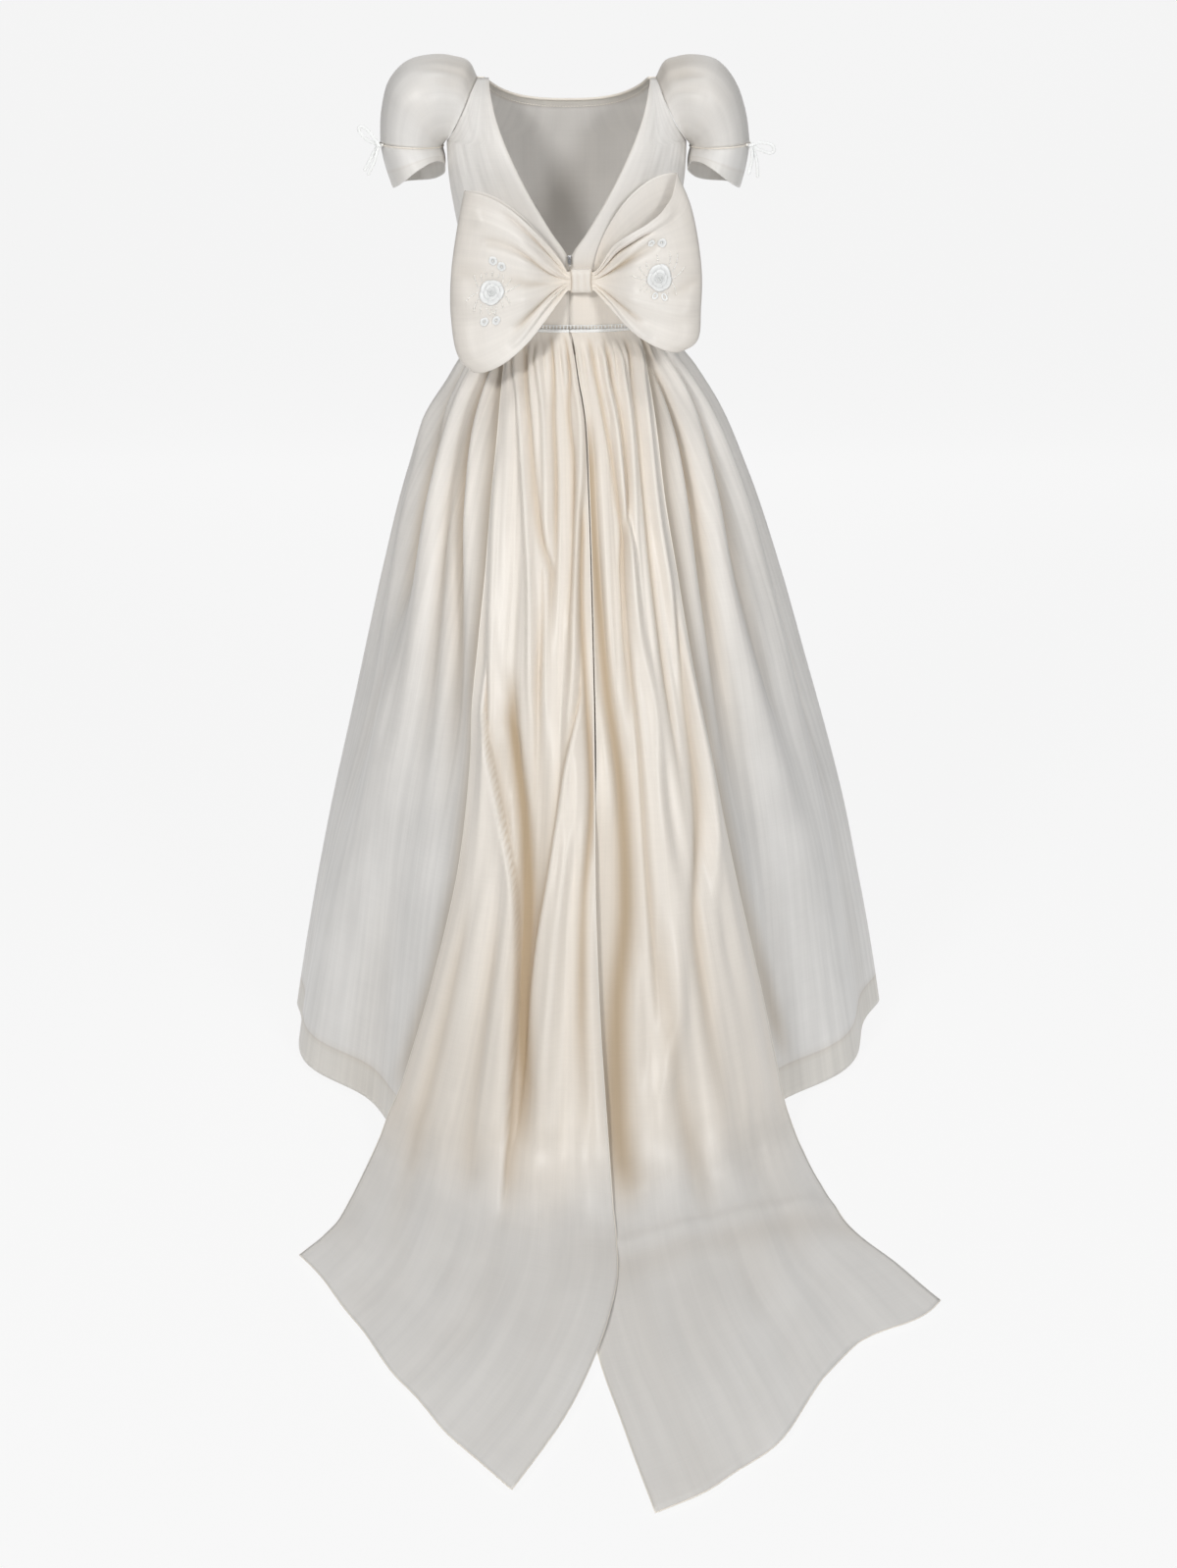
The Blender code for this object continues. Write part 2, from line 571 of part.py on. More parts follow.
def skirt_point(angle, height, lift):
    """A place on the skirt: a section that is an ellipse at the waist and drawn out to
    the back at the hem, moved out along the ellipse's normal by lift.

    The angle is 0 at the centre back, and grows to the right.
    """
    width = through(SKIRT, 1, height)
    back = np.cos(angle) > 0
    depth = np.where(back, through(SKIRT, 2, height), through(SKIRT, 3, height))
    power = 1.0 + HEM_POINTEDNESS * smoothstep((SKIRT_TOP - height) / SKIRT_TOP)
    reach = np.where(back, np.abs(np.cos(angle)) ** power, np.abs(np.cos(angle)))
    x = through(SKIRT, 4, height) + width * np.sin(angle)
    y = np.where(back, -depth * reach, depth * reach)
    over = np.stack([np.sin(angle) / width, -np.cos(angle) / depth])
    over = over / np.linalg.norm(over, axis=0)
    return np.stack([x + over[0] * lift, y + over[1] * lift, height + 0.0 * x], axis=-1)


def build_skirt():
    """Front and two back panels, gathered to the waist, in long folds to a full hem."""
    silk = material("ivory_silk_skirt", IVORY_SHEER, 0.5)
    quarter = math.pi / 2
    panels = (("skirt_back_left", -quarter, 0.0, (-1.0, -1.0)),
              ("skirt_back_right", 0.0, quarter, (1.0, -1.0)),
              ("skirt_front", quarter, 3 * quarter, (0.0, 1.0)))
    for name, first, last, away in panels:
        turns = (last - first) / (2 * math.pi)
        columns = round(turns * GATHERS_ROUND * COLUMNS_PER_GATHER) + 1
        height, angle = np.meshgrid(SKIRT_RINGS, np.linspace(first, last, columns),
                                    indexing="ij")
        points = skirt_point(angle, height, skirt_relief(angle, height))
        points[..., 0] += away[0] * SEAM_GAP / 2
        points[..., 1] += away[1] * SEAM_GAP / 2
        cloth(name, points, silk, (0.02, -0.03, 0.6))


def build_piping():
    """The covered cord in the waist seam, open at the zip."""
    cord = material("waist_piping", CORD_CREAM, 0.5)
    angles = np.linspace(0.016, 2 * math.pi - 0.016, 41)
    ring = skirt_point(angles, np.full(angles.shape, SKIRT_TOP), PIPING_RADIUS + 0.0002)
    ring[:, 0] -= through(SKIRT, 4, SKIRT_TOP) - CENTRE_BACK_X
    ring[:, 2] = PIPING_HEIGHT
    tube("waist_piping", ring, PIPING_RADIUS, cord, resolution=1)


def tail_point(table, side, share, row):
    """A place on a tail, from its inner edge (share 0) to its outer edge (share 1).

    The tail lies on the crests of the skirt, moved out by its own pleats, and each row
    of its table says how far behind the skirt it is, once it has left it for the floor.
    """
    rows = np.arange(len(table), dtype=float)
    indexed = np.column_stack([rows, table])
    height, inner, outer = (through(indexed, k, row) for k in (1, 2, 3))
    behind = through(indexed, 4, row) * (1 - share) + through(indexed, 5, row) * share
    x = inner + (outer - inner) * share
    on_skirt = np.clip(height, SKIRT_HEM, SKIRT_TOP)
    close = smoothstep((SKIRT_TOP - height) / 0.03)
    lift = skirt_crest(on_skirt) + WALL + REST_GAP + TAIL_CLEARANCE * close
    sine = (x - through(SKIRT, 4, on_skirt)) / (through(SKIRT, 1, on_skirt) + lift)
    angle = np.arcsin(np.clip(sine, -0.98, 0.98))
    lift = lift + hem_swing(angle, on_skirt)
    pleat = 0.5 - 0.5 * np.cos(2 * math.pi * TAIL_PLEATS * share ** (1.0 + 0.15 * side))
    if side > 0:
        under = smoothstep((0.5 - height) / 0.1)
        pleat = pleat * (1 - under * (1 - smoothstep((share - 0.15) / 0.12)))
    stand = through(indexed, 7, row) * (1 - smoothstep(share / 0.45))
    relief = through(indexed, 6, row) * pleat + stand
    flat = smoothstep((0.10 - height) / 0.08)
    points = skirt_point(angle, on_skirt, lift + relief * (1 - flat))
    edges = [skirt_point(np.arcsin(np.clip((edge - through(SKIRT, 4, on_skirt)) / (
        through(SKIRT, 1, on_skirt) + lift), -0.98, 0.98)), on_skirt, lift)[..., 1]
        for edge in (inner, outer)]
    straight = edges[0] * (1 - share) + edges[1] * share
    away = TAIL_END_STRAIGHTNESS * smoothstep((behind - 0.05) / 0.25)
    points[..., 1] += (straight - points[..., 1]) * away - behind
    points[..., 2] = height + (relief + TAIL_BED) * flat
    return points


def build_tails():
    """Two long tails under the bow, over the skirt and out on the floor, left over right."""
    silk = material("ivory_silk_tail", IVORY_TAIL, 0.45)
    for table, side, word in ((LEFT_TAIL, -1, "left"), (RIGHT_TAIL, 1, "right")):
        row, share = np.meshgrid(np.arange(len(table), dtype=float),
                                 np.linspace(0.0, 1.0, TAIL_COLUMNS), indexing="ij")
        cloth("tail_" + word, tail_point(table, side, share, row), silk,
              (0.0, 0.0, 0.3), wall=TAIL_WALL)


def knot_depth():
    """How far behind the origin the middle of the knot lies: on the bodice's outer side."""
    top = np.array(KNOT["height"] + KNOT["half_height"])
    bodice = -bodice_point(np.array(0.0), top, front=False)[1]
    return float(bodice) + WALL + KNOT_BACK_GAP + KNOT["half_depth"]


def loop_point(side, out, down, front):
    """A place on a loop of the bow: out from the knot, down from its top edge, and on the
    front layer (front 1, away from the dress) or on the back layer (-1).

    x goes evenly to the outer fold, height opens like a sine, and the two layers stand
    apart by a depth that is small in the knot and closes in a round at the fold.
    """
    fold = LEFT_LOOP_FOLD if side < 0 else RIGHT_LOOP_FOLD
    start_x = KNOT["x"] + side * LOOP_END["reach"]
    start_height = KNOT["height"] + LOOP_END["half_height"] * (1 - 2 * down)
    open_out = np.clip((out - 0.08) / 0.92, 0.0, 1.0)
    x = start_x + (through(fold, 1, down) - start_x) * out
    upper = 1 - smoothstep(down / 0.45)
    slack = 1.0 - upper * LOOP_TOP_SLACK[side]
    spread = np.sin(open_out * math.pi / 2) ** slack
    if side > 0:
        lapped = np.sin(open_out * math.pi / 2) * (1 - upper)
        lapped = lapped + through(RIGHT_FRONT_OPENING, 1, out) * upper
        spread = np.where(front > 0, lapped, spread)
    height = start_height + (through(fold, 2, down) - start_height) * spread
    depth = LOOP_END["half_depth"] + (LOOP_DEPTH - LOOP_END["half_depth"]) * smoothstep(
        open_out / 0.5)
    round_end = np.sqrt(1 - np.clip((out - 0.8) / 0.2, 0.0, 1.0) ** 2)
    low = smoothstep((1.075 - height) / 0.10)
    lean = LOOP_LEAN * smoothstep(open_out / 0.4)
    lean = lean + LOOP_DROP_LEAN * low * smoothstep(open_out / 0.35)
    near_knot = 2.2 * np.sqrt(open_out) * (1 - open_out) ** 2
    crease = LOOP_CREASE * near_knot * np.cos(2 * math.pi * LOOP_CREASES * down)
    y = -(knot_depth() + lean + front * depth * round_end)
    y = y - np.where(front > 0, crease * round_end, 0.0)
    return np.stack([x, y, height], axis=-1)


def build_bow():
    """Two loops of folded cloth, held by a knot that is wrapped round their ends."""
    silk = material("ivory_silk_bow", IVORY, 0.45)
    stations = np.array(LOOP_STATIONS)
    out = np.concatenate([stations, [1.0], stations[::-1]])
    layer = np.concatenate([-np.ones(len(stations)), [1.0], np.ones(len(stations))])
    down = np.linspace(0.0, 1.0, LOOP_COLUMNS)
    for side, word in ((-1, "left"), (1, "right")):
        points = np.stack([loop_point(side, np.full(down.shape, o), down, f)
                           for o, f in zip(out, layer)])
        cloth("bow_loop_" + word, points, silk, points.reshape(-1, 3).mean(axis=0),
              wall=BOW_WALL)

    angles = np.linspace(0.0, 2 * math.pi, 22, endpoint=False)
    along = np.linspace(-1.0, 1.0, 4)
    station, angle = np.meshgrid(along, angles, indexing="ij")
    waist = 1.0 - 0.06 * (1 - station ** 2)
    height = KNOT["half_height"] * waist * np.sign(np.sin(angle)) * np.abs(
        np.sin(angle)) ** 0.6
    y = KNOT["half_depth"] * np.sign(np.cos(angle)) * np.abs(np.cos(angle)) ** 0.6
    points = np.stack([KNOT["x"] + KNOT["half_x"] * station, -knot_depth() + y,
                       KNOT["height"] + height], axis=-1)
    cloth("bow_knot", points, silk, (KNOT["x"], -knot_depth(), KNOT["height"]),
          closed=True, outward=-1.0)


def flower_grid(side, out, down, radius, height, rings, spokes):
    """A domed flower that follows the loop under it, with a spiral ridge for its petals."""
    step = 0.002
    centre = loop_point(side, out, down, 1)
    along = loop_point(side, out + step, down, 1) - centre
    across = loop_point(side, out, down + step, 1) - centre
    per_out = step / np.linalg.norm(along)
    per_down = step / np.linalg.norm(across)
    ring, spoke = np.meshgrid(np.linspace(0.06, 1.0, rings), np.linspace(
        0.0, 2 * math.pi, spokes, endpoint=False), indexing="ij")
    outs = out + ring * radius * np.cos(spoke) * per_out
    downs = down + ring * radius * np.sin(spoke) * per_down
    base = loop_point(side, outs, downs, np.ones(outs.shape))
    normal = np.cross(along, across)
    normal *= -np.sign(normal[1]) / np.linalg.norm(normal)
    ridge = ROSE_RIDGE * np.cos(spoke - 5 * math.pi * ring) * (1 - ring) * radius / 0.017
    dome = height * np.sqrt(np.clip(1 - ring ** 3, 0.0, 1.0)) + ridge
    lift = BOW_WALL + FLOWER_GAP
    return base + normal * (lift + dome)[..., None], centre


def build_flowers():
    """Ribbon roses and small rosettes on the front of each loop."""
    ribbon = material("ribbon_white", RIBBON_WHITE, 0.35)
    for name, side, out, down, radius, height in FLOWERS:
        big = radius > 0.01
        points, centre = flower_grid(side, out, down, radius, height,
                                     5 if big else 3, 16 if big else 8)
        cloth(name, points, ribbon, centre + (0.0, 0.05, 0.0), wall=PETAL_WALL,
              closed=True)


def build_zip():
    """The slider at the top of the closed zip, and the pull that hinges on it."""
    metal = material("nickel_zip", NICKEL, 0.25, 1.0)
    angle = bodice_angle(np.array(0.003), np.array(SLIDER["centre_height"]))
    skin = float(bodice_point(angle, np.array(SLIDER["centre_height"]), front=False)[1])
    y = skin - WALL - SEAM_GAP - SLIDER["depth"] / 2
    z = SLIDER["centre_height"] - SHOULDER_HEIGHT
    box("zip_slider", (CENTRE_BACK_X, y, z),
        (SLIDER["width"], SLIDER["depth"], SLIDER["height"]), metal)
    y -= SLIDER["depth"] / 2 + PULL_GAP + PULL["thickness"] / 2
    top = z + SLIDER["height"] / 2 - PULL["thickness"]
    pull = box("zip_pull", (CENTRE_BACK_X, y, top),
               (PULL["width"], PULL["thickness"], PULL["length"]), metal)
    for corner in pull.data.vertices:
        corner.co.z -= PULL["length"] / 2


def box(name, place, size, look):
    """A small box with rounded edges, made as a primitive with its scale in the mesh."""
    bpy.ops.mesh.primitive_cube_add(size=1.0, location=place)
    made = bpy.context.active_object
    made.name = name
    for corner in made.data.vertices:
        corner.co = [value * length for value, length in zip(corner.co, size)]
    for holder in list(made.users_collection):
        holder.objects.unlink(made)
    PARTS.objects.link(made)
    made.data.materials.append(look)
    soft = made.modifiers.new("Edges", 'BEVEL')
    soft.width = 0.0003
    soft.segments = 1
    return made


clear_scene()
PARTS = bpy.data.collections.new("wedding_dress")
CUTTERS = bpy.data.collections.new("cutters")
bpy.context.scene.collection.children.link(PARTS)
bpy.context.scene.collection.children.link(CUTTERS)
build_bodice()
build_sleeves()
build_piping()
build_skirt()
build_tails()
build_bow()
build_flowers()
build_zip()
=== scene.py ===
"""Short-sleeved ivory wedding dress with a low V back, a large bow and two long tails.

Each piece of cloth is a function of two parameters, worked out on a grid, over the form
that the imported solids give. Heights in the tables are above the floor.
"""
import math

import bpy
import numpy as np
from bpy.props import FloatProperty, FloatVectorProperty, PointerProperty
from bpy.types import Operator, Panel, PropertyGroup
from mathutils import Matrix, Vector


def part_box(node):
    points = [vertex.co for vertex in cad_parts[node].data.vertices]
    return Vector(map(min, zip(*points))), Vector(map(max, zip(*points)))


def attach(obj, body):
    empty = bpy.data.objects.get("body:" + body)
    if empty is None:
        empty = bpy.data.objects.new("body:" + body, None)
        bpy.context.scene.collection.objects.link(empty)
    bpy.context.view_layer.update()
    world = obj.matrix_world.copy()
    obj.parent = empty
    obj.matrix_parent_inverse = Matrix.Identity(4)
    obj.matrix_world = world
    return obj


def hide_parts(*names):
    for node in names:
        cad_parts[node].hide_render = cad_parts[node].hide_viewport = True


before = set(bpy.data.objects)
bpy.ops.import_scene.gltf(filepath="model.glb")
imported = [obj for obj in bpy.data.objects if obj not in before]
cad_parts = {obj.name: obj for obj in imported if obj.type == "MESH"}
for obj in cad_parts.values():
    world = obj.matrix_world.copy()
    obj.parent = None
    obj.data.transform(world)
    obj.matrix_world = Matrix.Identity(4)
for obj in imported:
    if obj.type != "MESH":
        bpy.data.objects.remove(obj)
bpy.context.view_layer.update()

bl_info = {
    "name": "Wedding dress with bow and tails",
    "version": (1, 0, 0),
    "blender": (4, 5, 0),
    "location": "3D View > Sidebar > Dress",
    "description": "Dresses the packed solids of a wedding dress in silk, ribbon and beads",
    "category": "Object",
}

# Main sizes in metres, as in the part's source
WALL = 0.0015
TAIL_WALL = 0.0012
SEAM_GAP = 0.0003
REST_GAP = 0.0006
SHOULDER_HEIGHT = 1.340
ARMPIT_HEIGHT = 1.262
V_APEX_HEIGHT = 1.112
BODICE_HEM = 1.0276
PIPING_HEIGHT = 1.0255
SKIRT_TOP = 1.0226
SKIRT_HEM = 0.006
FRONT_NECK_HEIGHT = 1.308
TAIL_BED = 0.0016
TIE_RADIUS = 0.0016
TIE_SEAM = 0.0007
CENTRE_BACK_X = 0.004
SIDE_SQUARENESS = 0.8
ARMHOLE_DEPTH = 45.0
ARMHOLE_CURVE = 0.37
GATHERS_ROUND = 36
FOLDS_ROUND = 20
WAVES_ROUND = 12
HEM_POINTEDNESS = 0.35
GATHER_DRIFT = 0.045
SWING_START = 0.62
TAIL_PLEATS = 4
TAIL_END_STRAIGHTNESS = 0.4
TAIL_CLEARANCE = 0.0030

# Bodice sections: height, half width, back depth, front depth
BODICE = np.array([
    (1.0276, 0.125, 0.0980, 0.095),
    (1.0600, 0.128, 0.0985, 0.102),
    (1.1000, 0.135, 0.1000, 0.113),
    (1.1630, 0.148, 0.1080, 0.126),
    (1.2140, 0.156, 0.1100, 0.120),
    (1.2620, 0.158, 0.1050, 0.106),
    (1.2900, 0.157, 0.0940, 0.092),
    (1.3100, 0.156, 0.0780, 0.080),
    (1.3250, 0.156, 0.0560, 0.058),
    (1.3350, 0.155, 0.0280, 0.030),
    (1.3400, 0.155, 0.0000, 0.000),
])

# Edge of the V on the back: height, distance from the centre back
V_EDGE = np.array([
    (1.112, 0.0004),
    (1.122, 0.0032),
    (1.150, 0.0220),
    (1.185, 0.0440),
    (1.241, 0.0740),
    (1.296, 0.0970),
    (1.340, 0.1080),
])

# Skirt sections: height, half width, back depth, front depth, centre x, gathers, folds, waves
SKIRT = np.array([
    (0.006, 0.418, 0.575, 0.395, 0.025, 0.0000, 0.0060, 0.022),
    (0.130, 0.398, 0.512, 0.370, 0.025, 0.0000, 0.0080, 0.018),
    (0.300, 0.366, 0.442, 0.335, 0.025, 0.0000, 0.0110, 0.013),
    (0.500, 0.314, 0.364, 0.288, 0.022, 0.0000, 0.0140, 0.008),
    (0.680, 0.267, 0.286, 0.244, 0.018, 0.0000, 0.0140, 0.003),
    (0.820, 0.224, 0.222, 0.196, 0.013, 0.0006, 0.0110, 0.000),
    (0.915, 0.184, 0.170, 0.150, 0.010, 0.0034, 0.0060, 0.000),
    (0.968, 0.152, 0.134, 0.120, 0.008, 0.0046, 0.0020, 0.000),
    (1.003, 0.132, 0.107, 0.102, 0.006, 0.0046, 0.0000, 0.000),
    (1.0226, 0.1257, 0.0987, 0.0957, 0.004, 0.0014, 0.0000, 0.000),
])

# How the hem swings out or in: angle from the back in degrees, lift
HEM_SWINGS = np.array([
    (-180.0, 0.000), (-150.0, 0.006), (-120.0, -0.004), (-96.0, -0.004), (-72.0, 0.027),
    (-45.0, -0.004), (-15.0, 0.006), (8.0, 0.010), (26.0, 0.000), (44.0, -0.026),
    (66.0, 0.009), (94.0, 0.012), (125.0, -0.004), (150.0, 0.006), (180.0, 0.000),
])

# Creases of the skirt: angle from the back at heights 0.95, 0.70, 0.45 and 0.10, width in
# degrees, depth (a ridge above 0, a trough below), and the heights between which it lies
SKIRT_CREASES = np.array([
    (-85, -86, -84, -80, 5.0, 0.009, 0.99, 0.25),
    (-78, -62, -60, -60, 4.0, -0.010, 0.98, 0.50),
    (-84, -72, -57, -54, 6.0, 0.010, 0.92, 0.15),
    (-66, -66, -68, -70, 4.0, -0.009, 0.90, 0.20),
    (-60, -53, -50, -48, 4.0, 0.010, 0.98, 0.20),
    (-50, -39, -33, -32, 3.0, -0.017, 0.99, 0.26),
    (-56, -47, -42, -40, 3.0, -0.008, 0.98, 0.34),
    (-44, -36, -34, -33, 2.4, 0.008, 0.99, 0.60),
    (44, 36, 36, 36, 2.4, 0.008, 0.98, 0.62),
    (48, 41, 39, 39, 3.0, -0.015, 0.98, 0.26),
    (58, 48, 52, 55, 4.0, 0.011, 0.98, 0.15),
    (66, 56, 60, 62, 3.6, -0.011, 0.97, 0.30),
    (73, 70, 68, 68, 5.0, 0.010, 0.98, 0.20),
    (80, 80, 78, 77, 4.0, -0.010, 0.97, 0.30),
    (90, 90, 89, 88, 5.0, 0.010, 0.99, 0.20),
    (99, 100, 101, 101, 4.0, -0.011, 0.98, 0.30),
    (109, 111, 113, 113, 4.0, 0.011, 0.97, 0.20),
    (121, 123, 124, 123, 4.0, -0.013, 0.98, 0.35),
    (133, 134, 136, 137, 5.0, 0.013, 0.96, 0.15),
    (146, 147, 146, 146, 4.0, -0.012, 0.98, 0.30),
    (157, 158, 160, 160, 4.5, 0.013, 0.98, 0.20),
    (168, 170, 171, 170, 3.5, -0.013, 0.97, 0.38),
    (180, 181, 181, 182, 5.0, 0.014, 0.98, 0.20),
    (192, 190, 191, 193, 4.0, -0.012, 0.97, 0.30),
    (203, 204, 205, 205, 4.5, 0.013, 0.98, 0.15),
    (215, 214, 215, 216, 4.0, -0.013, 0.97, 0.36),
    (227, 228, 228, 227, 5.0, 0.012, 0.98, 0.20),
    (239, 240, 239, 239, 4.0, -0.013, 0.98, 0.33),
    (250, 250, 251, 252, 4.5, 0.011, 0.97, 0.20),
    (262, 262, 262, 263, 4.0, -0.010, 0.98, 0.30),
])

# Tails: height, inner x, outer x, how far each edge lies behind the skirt, height of the
# pleats, and how far the inner edge stands off
LEFT_TAIL = np.array([
    (1.0222, 0.0030, -0.078, 0.000, 0.000, 0.0000, 0.0000),
    (1.0030, 0.0080, -0.080, 0.000, 0.000, 0.0060, 0.0000),
    (0.9680, 0.0140, -0.083, 0.000, 0.000, 0.0080, 0.0000),
    (0.9150, 0.0230, -0.088, 0.000, 0.000, 0.0090, 0.0000),
    (0.8200, 0.0280, -0.096, 0.000, 0.000, 0.0120, 0.0000),
    (0.7300, 0.0310, -0.103, 0.000, 0.000, 0.0140, 0.0000),
    (0.6160, 0.0340, -0.114, 0.000, 0.000, 0.0150, 0.0010),
    (0.5000, 0.0360, -0.119, 0.000, 0.000, 0.0160, 0.0040),
    (0.3600, 0.0370, -0.138, 0.000, 0.000, 0.0160, 0.0080),
    (0.2200, 0.0420, -0.172, 0.002, 0.002, 0.0150, 0.0090),
    (0.1000, 0.0500, -0.210, 0.006, 0.006, 0.0120, 0.0090),
    (0.0400, 0.0550, -0.236, 0.022, 0.014, 0.0090, 0.0080),
    (0.0150, 0.0580, -0.248, 0.052, 0.040, 0.0070, 0.0060),
    (0.0050, 0.0610, -0.258, 0.100, 0.090, 0.0060, 0.0050),
    (0.0020, 0.0600, -0.272, 0.200, 0.200, 0.0080, 0.0045),
    (0.0020, 0.0400, -0.284, 0.330, 0.285, 0.0100, 0.0045),
    (0.0020, 0.0060, -0.300, 0.460, 0.355, 0.0080, 0.0045),
    (0.0020, -0.0470, -0.318, 0.602, 0.420, 0.0050, 0.0010),
])
RIGHT_TAIL = np.array([
    (1.0222, 0.0060, 0.092, 0.000, 0.000, 0.0000, 0.0000),
    (1.0030, 0.0110, 0.100, 0.000, 0.000, 0.0060, 0.0000),
    (0.9680, 0.0170, 0.106, 0.000, 0.000, 0.0080, 0.0000),
    (0.9150, 0.0260, 0.115, 0.000, 0.000, 0.0090, 0.0000),
    (0.8200, 0.0310, 0.127, 0.000, 0.000, 0.0120, 0.0000),
    (0.7300, 0.0340, 0.142, 0.000, 0.000, 0.0140, 0.0000),
    (0.6160, 0.0370, 0.162, 0.000, 0.000, 0.0150, 0.0000),
    (0.5000, 0.0390, 0.186, 0.000, 0.000, 0.0160, 0.0000),
    (0.3600, 0.0330, 0.218, 0.000, 0.000, 0.0160, 0.0000),
    (0.2200, 0.0260, 0.255, 0.002, 0.002, 0.0150, 0.0000),
    (0.1000, 0.0220, 0.288, 0.006, 0.006, 0.0120, 0.0000),
    (0.0400, 0.0210, 0.307, 0.022, 0.014, 0.0090, 0.0000),
    (0.0150, 0.0210, 0.318, 0.052, 0.040, 0.0070, 0.0000),
    (0.0050, 0.0210, 0.329, 0.100, 0.110, 0.0060, 0.0000),
    (0.0020, 0.0260, 0.344, 0.210, 0.225, 0.0080, 0.0000),
    (0.0020, 0.0400, 0.364, 0.345, 0.360, 0.0100, 0.0000),
    (0.0020, 0.0660, 0.400, 0.485, 0.512, 0.0080, 0.0000),
    (0.0020, 0.0940, 0.431, 0.634, 0.664, 0.0050, 0.0000),
])

# Creases of the tails: kind, width as a share, depth in metres, how much painted shade it gets,
# then
# the rows of the table and the shares that it runs through. Kind 0 is a soft ridge or
# trough, and 1 or -1 a folded edge whose raised side is towards the inner or outer edge.
TAIL_CREASES = {
    -1: (
        (0, 0.040, -0.010, 0.5, (0.9, 2.0, 3.0, 4.0, 4.5, 4.9),
         (0.72, 0.70, 0.64, 0.535, 0.46, 0.37)),
        (0, 0.035, 0.008, 0.0, (0.9, 2.0, 3.0, 4.0, 5.0, 6.5),
         (0.80, 0.78, 0.73, 0.63, 0.56, 0.50)),
        (0, 0.035, -0.009, 0.6, (0.6, 1.9, 3.0, 3.6, 4.4), (0.30, 0.31, 0.355, 0.335, 0.33)),
        (0, 0.030, -0.009, 0.6, (0.6, 1.8, 3.0, 3.4, 4.3, 5.4),
         (0.08, 0.085, 0.165, 0.135, 0.15, 0.19)),
        (0, 0.040, 0.009, 0.0, (2.4, 3.4, 4.4, 5.9, 6.5, 7.2),
         (0.03, 0.055, 0.135, 0.175, 0.215, 0.22)),
        (0, 0.040, 0.008, 0.0, (0.8, 2.4, 4.0, 6.0), (0.50, 0.47, 0.43, 0.40)),
        (0, 0.050, -0.005, 0.15, (4.4, 5.3, 6.3, 7.3), (0.40, 0.42, 0.48, 0.50)),
        (0, 0.040, -0.008, 0.9, (4.2, 5.25, 6.3, 7.25, 8.0, 9.0),
         (0.07, 0.095, 0.06, 0.03, 0.08, 0.10)),
        (0, 0.045, 0.008, 0.0, (5.4, 6.3, 7.25, 8.05, 8.85, 9.6),
         (0.19, 0.18, 0.16, 0.24, 0.275, 0.30)),
        (0, 0.045, 0.006, 0.0, (3.8, 5.35, 6.35, 7.0), (0.95, 0.905, 0.83, 0.86)),
        (1, 0.110, 0.010, 0.0, (6.2, 6.9, 7.45, 7.85, 8.4, 9.6),
         (0.10, 0.23, 0.29, 0.33, 0.385, 0.40)),
        (-1, 0.150, 0.015, 0.0, (6.4, 7.05, 7.35, 7.9, 8.4, 9.85, 11.6),
         (0.89, 0.79, 0.725, 0.575, 0.515, 0.455, 0.44)),
        (0, 0.062, -0.012, 1.0, (6.5, 6.95, 7.25, 8.1, 8.95, 9.65),
         (0.68, 0.62, 0.57, 0.475, 0.44, 0.385)),
        (0, 0.055, 0.007, 0.0, (9.2, 9.85, 11.0, 12.2), (0.50, 0.50, 0.50, 0.49)),
        (0, 0.045, -0.006, 0.25, (8.6, 9.6, 10.6, 11.6), (0.64, 0.62, 0.60, 0.58)),
        (0, 0.055, 0.007, 0.0, (8.2, 10.0, 12.0, 14.0), (0.76, 0.74, 0.72, 0.68)),
        (0, 0.045, -0.006, 0.25, (8.6, 10.0, 12.0, 13.6), (0.87, 0.86, 0.84, 0.82)),
    ),
    1: (
        (0, 0.038, -0.010, 0.6, (0.8, 2.1, 3.0, 3.5, 4.4, 4.9),
         (0.24, 0.255, 0.28, 0.34, 0.39, 0.36)),
        (0, 0.038, -0.010, 0.5, (0.8, 2.1, 3.0, 3.45, 4.85, 5.6),
         (0.46, 0.475, 0.515, 0.52, 0.38, 0.34)),
        (0, 0.040, 0.008, 0.0, (0.7, 2.0, 3.4, 4.4), (0.60, 0.62, 0.60, 0.56)),
        (0, 0.035, 0.008, 0.0, (0.8, 2.2, 3.6, 4.6), (0.37, 0.38, 0.43, 0.46)),
        (0, 0.040, -0.009, 0.4, (0.9, 2.2, 4.0, 5.2, 6.4), (0.78, 0.76, 0.72, 0.70, 0.70)),
        (0, 0.040, 0.008, 0.0, (0.9, 2.4, 4.2, 5.35), (0.90, 0.88, 0.85, 0.86)),
        (0, 0.070, -0.015, 1.0, (3.4, 4.6, 5.3, 6.3, 7.25, 8.1, 8.9, 9.8, 11.2),
         (0.03, 0.04, 0.07, 0.13, 0.21, 0.225, 0.17, 0.155, 0.19)),
        (0, 0.065, 0.010, 0.0, (4.4, 5.3, 6.35, 7.3, 8.15, 8.95, 9.85),
         (0.44, 0.46, 0.545, 0.51, 0.56, 0.485, 0.34)),
        (0, 0.030, -0.006, 0.5, (5.6, 6.4, 7.3, 8.4), (0.36, 0.38, 0.375, 0.39)),
        (0, 0.045, -0.009, 0.5, (5.6, 6.35, 7.35, 8.15, 9.2), (0.90, 0.87, 0.82, 0.68, 0.64)),
        (0, 0.045, 0.007, 0.0, (6.0, 7.4, 8.2, 9.4, 11.0), (0.94, 0.93, 0.80, 0.78, 0.76)),
        (0, 0.050, -0.007, 0.35, (8.6, 9.6, 11.0, 12.2), (0.42, 0.44, 0.48, 0.50)),
        (0, 0.060, 0.006, 0.0, (9.0, 10.0, 12.0), (0.60, 0.60, 0.62)),
    ),
}
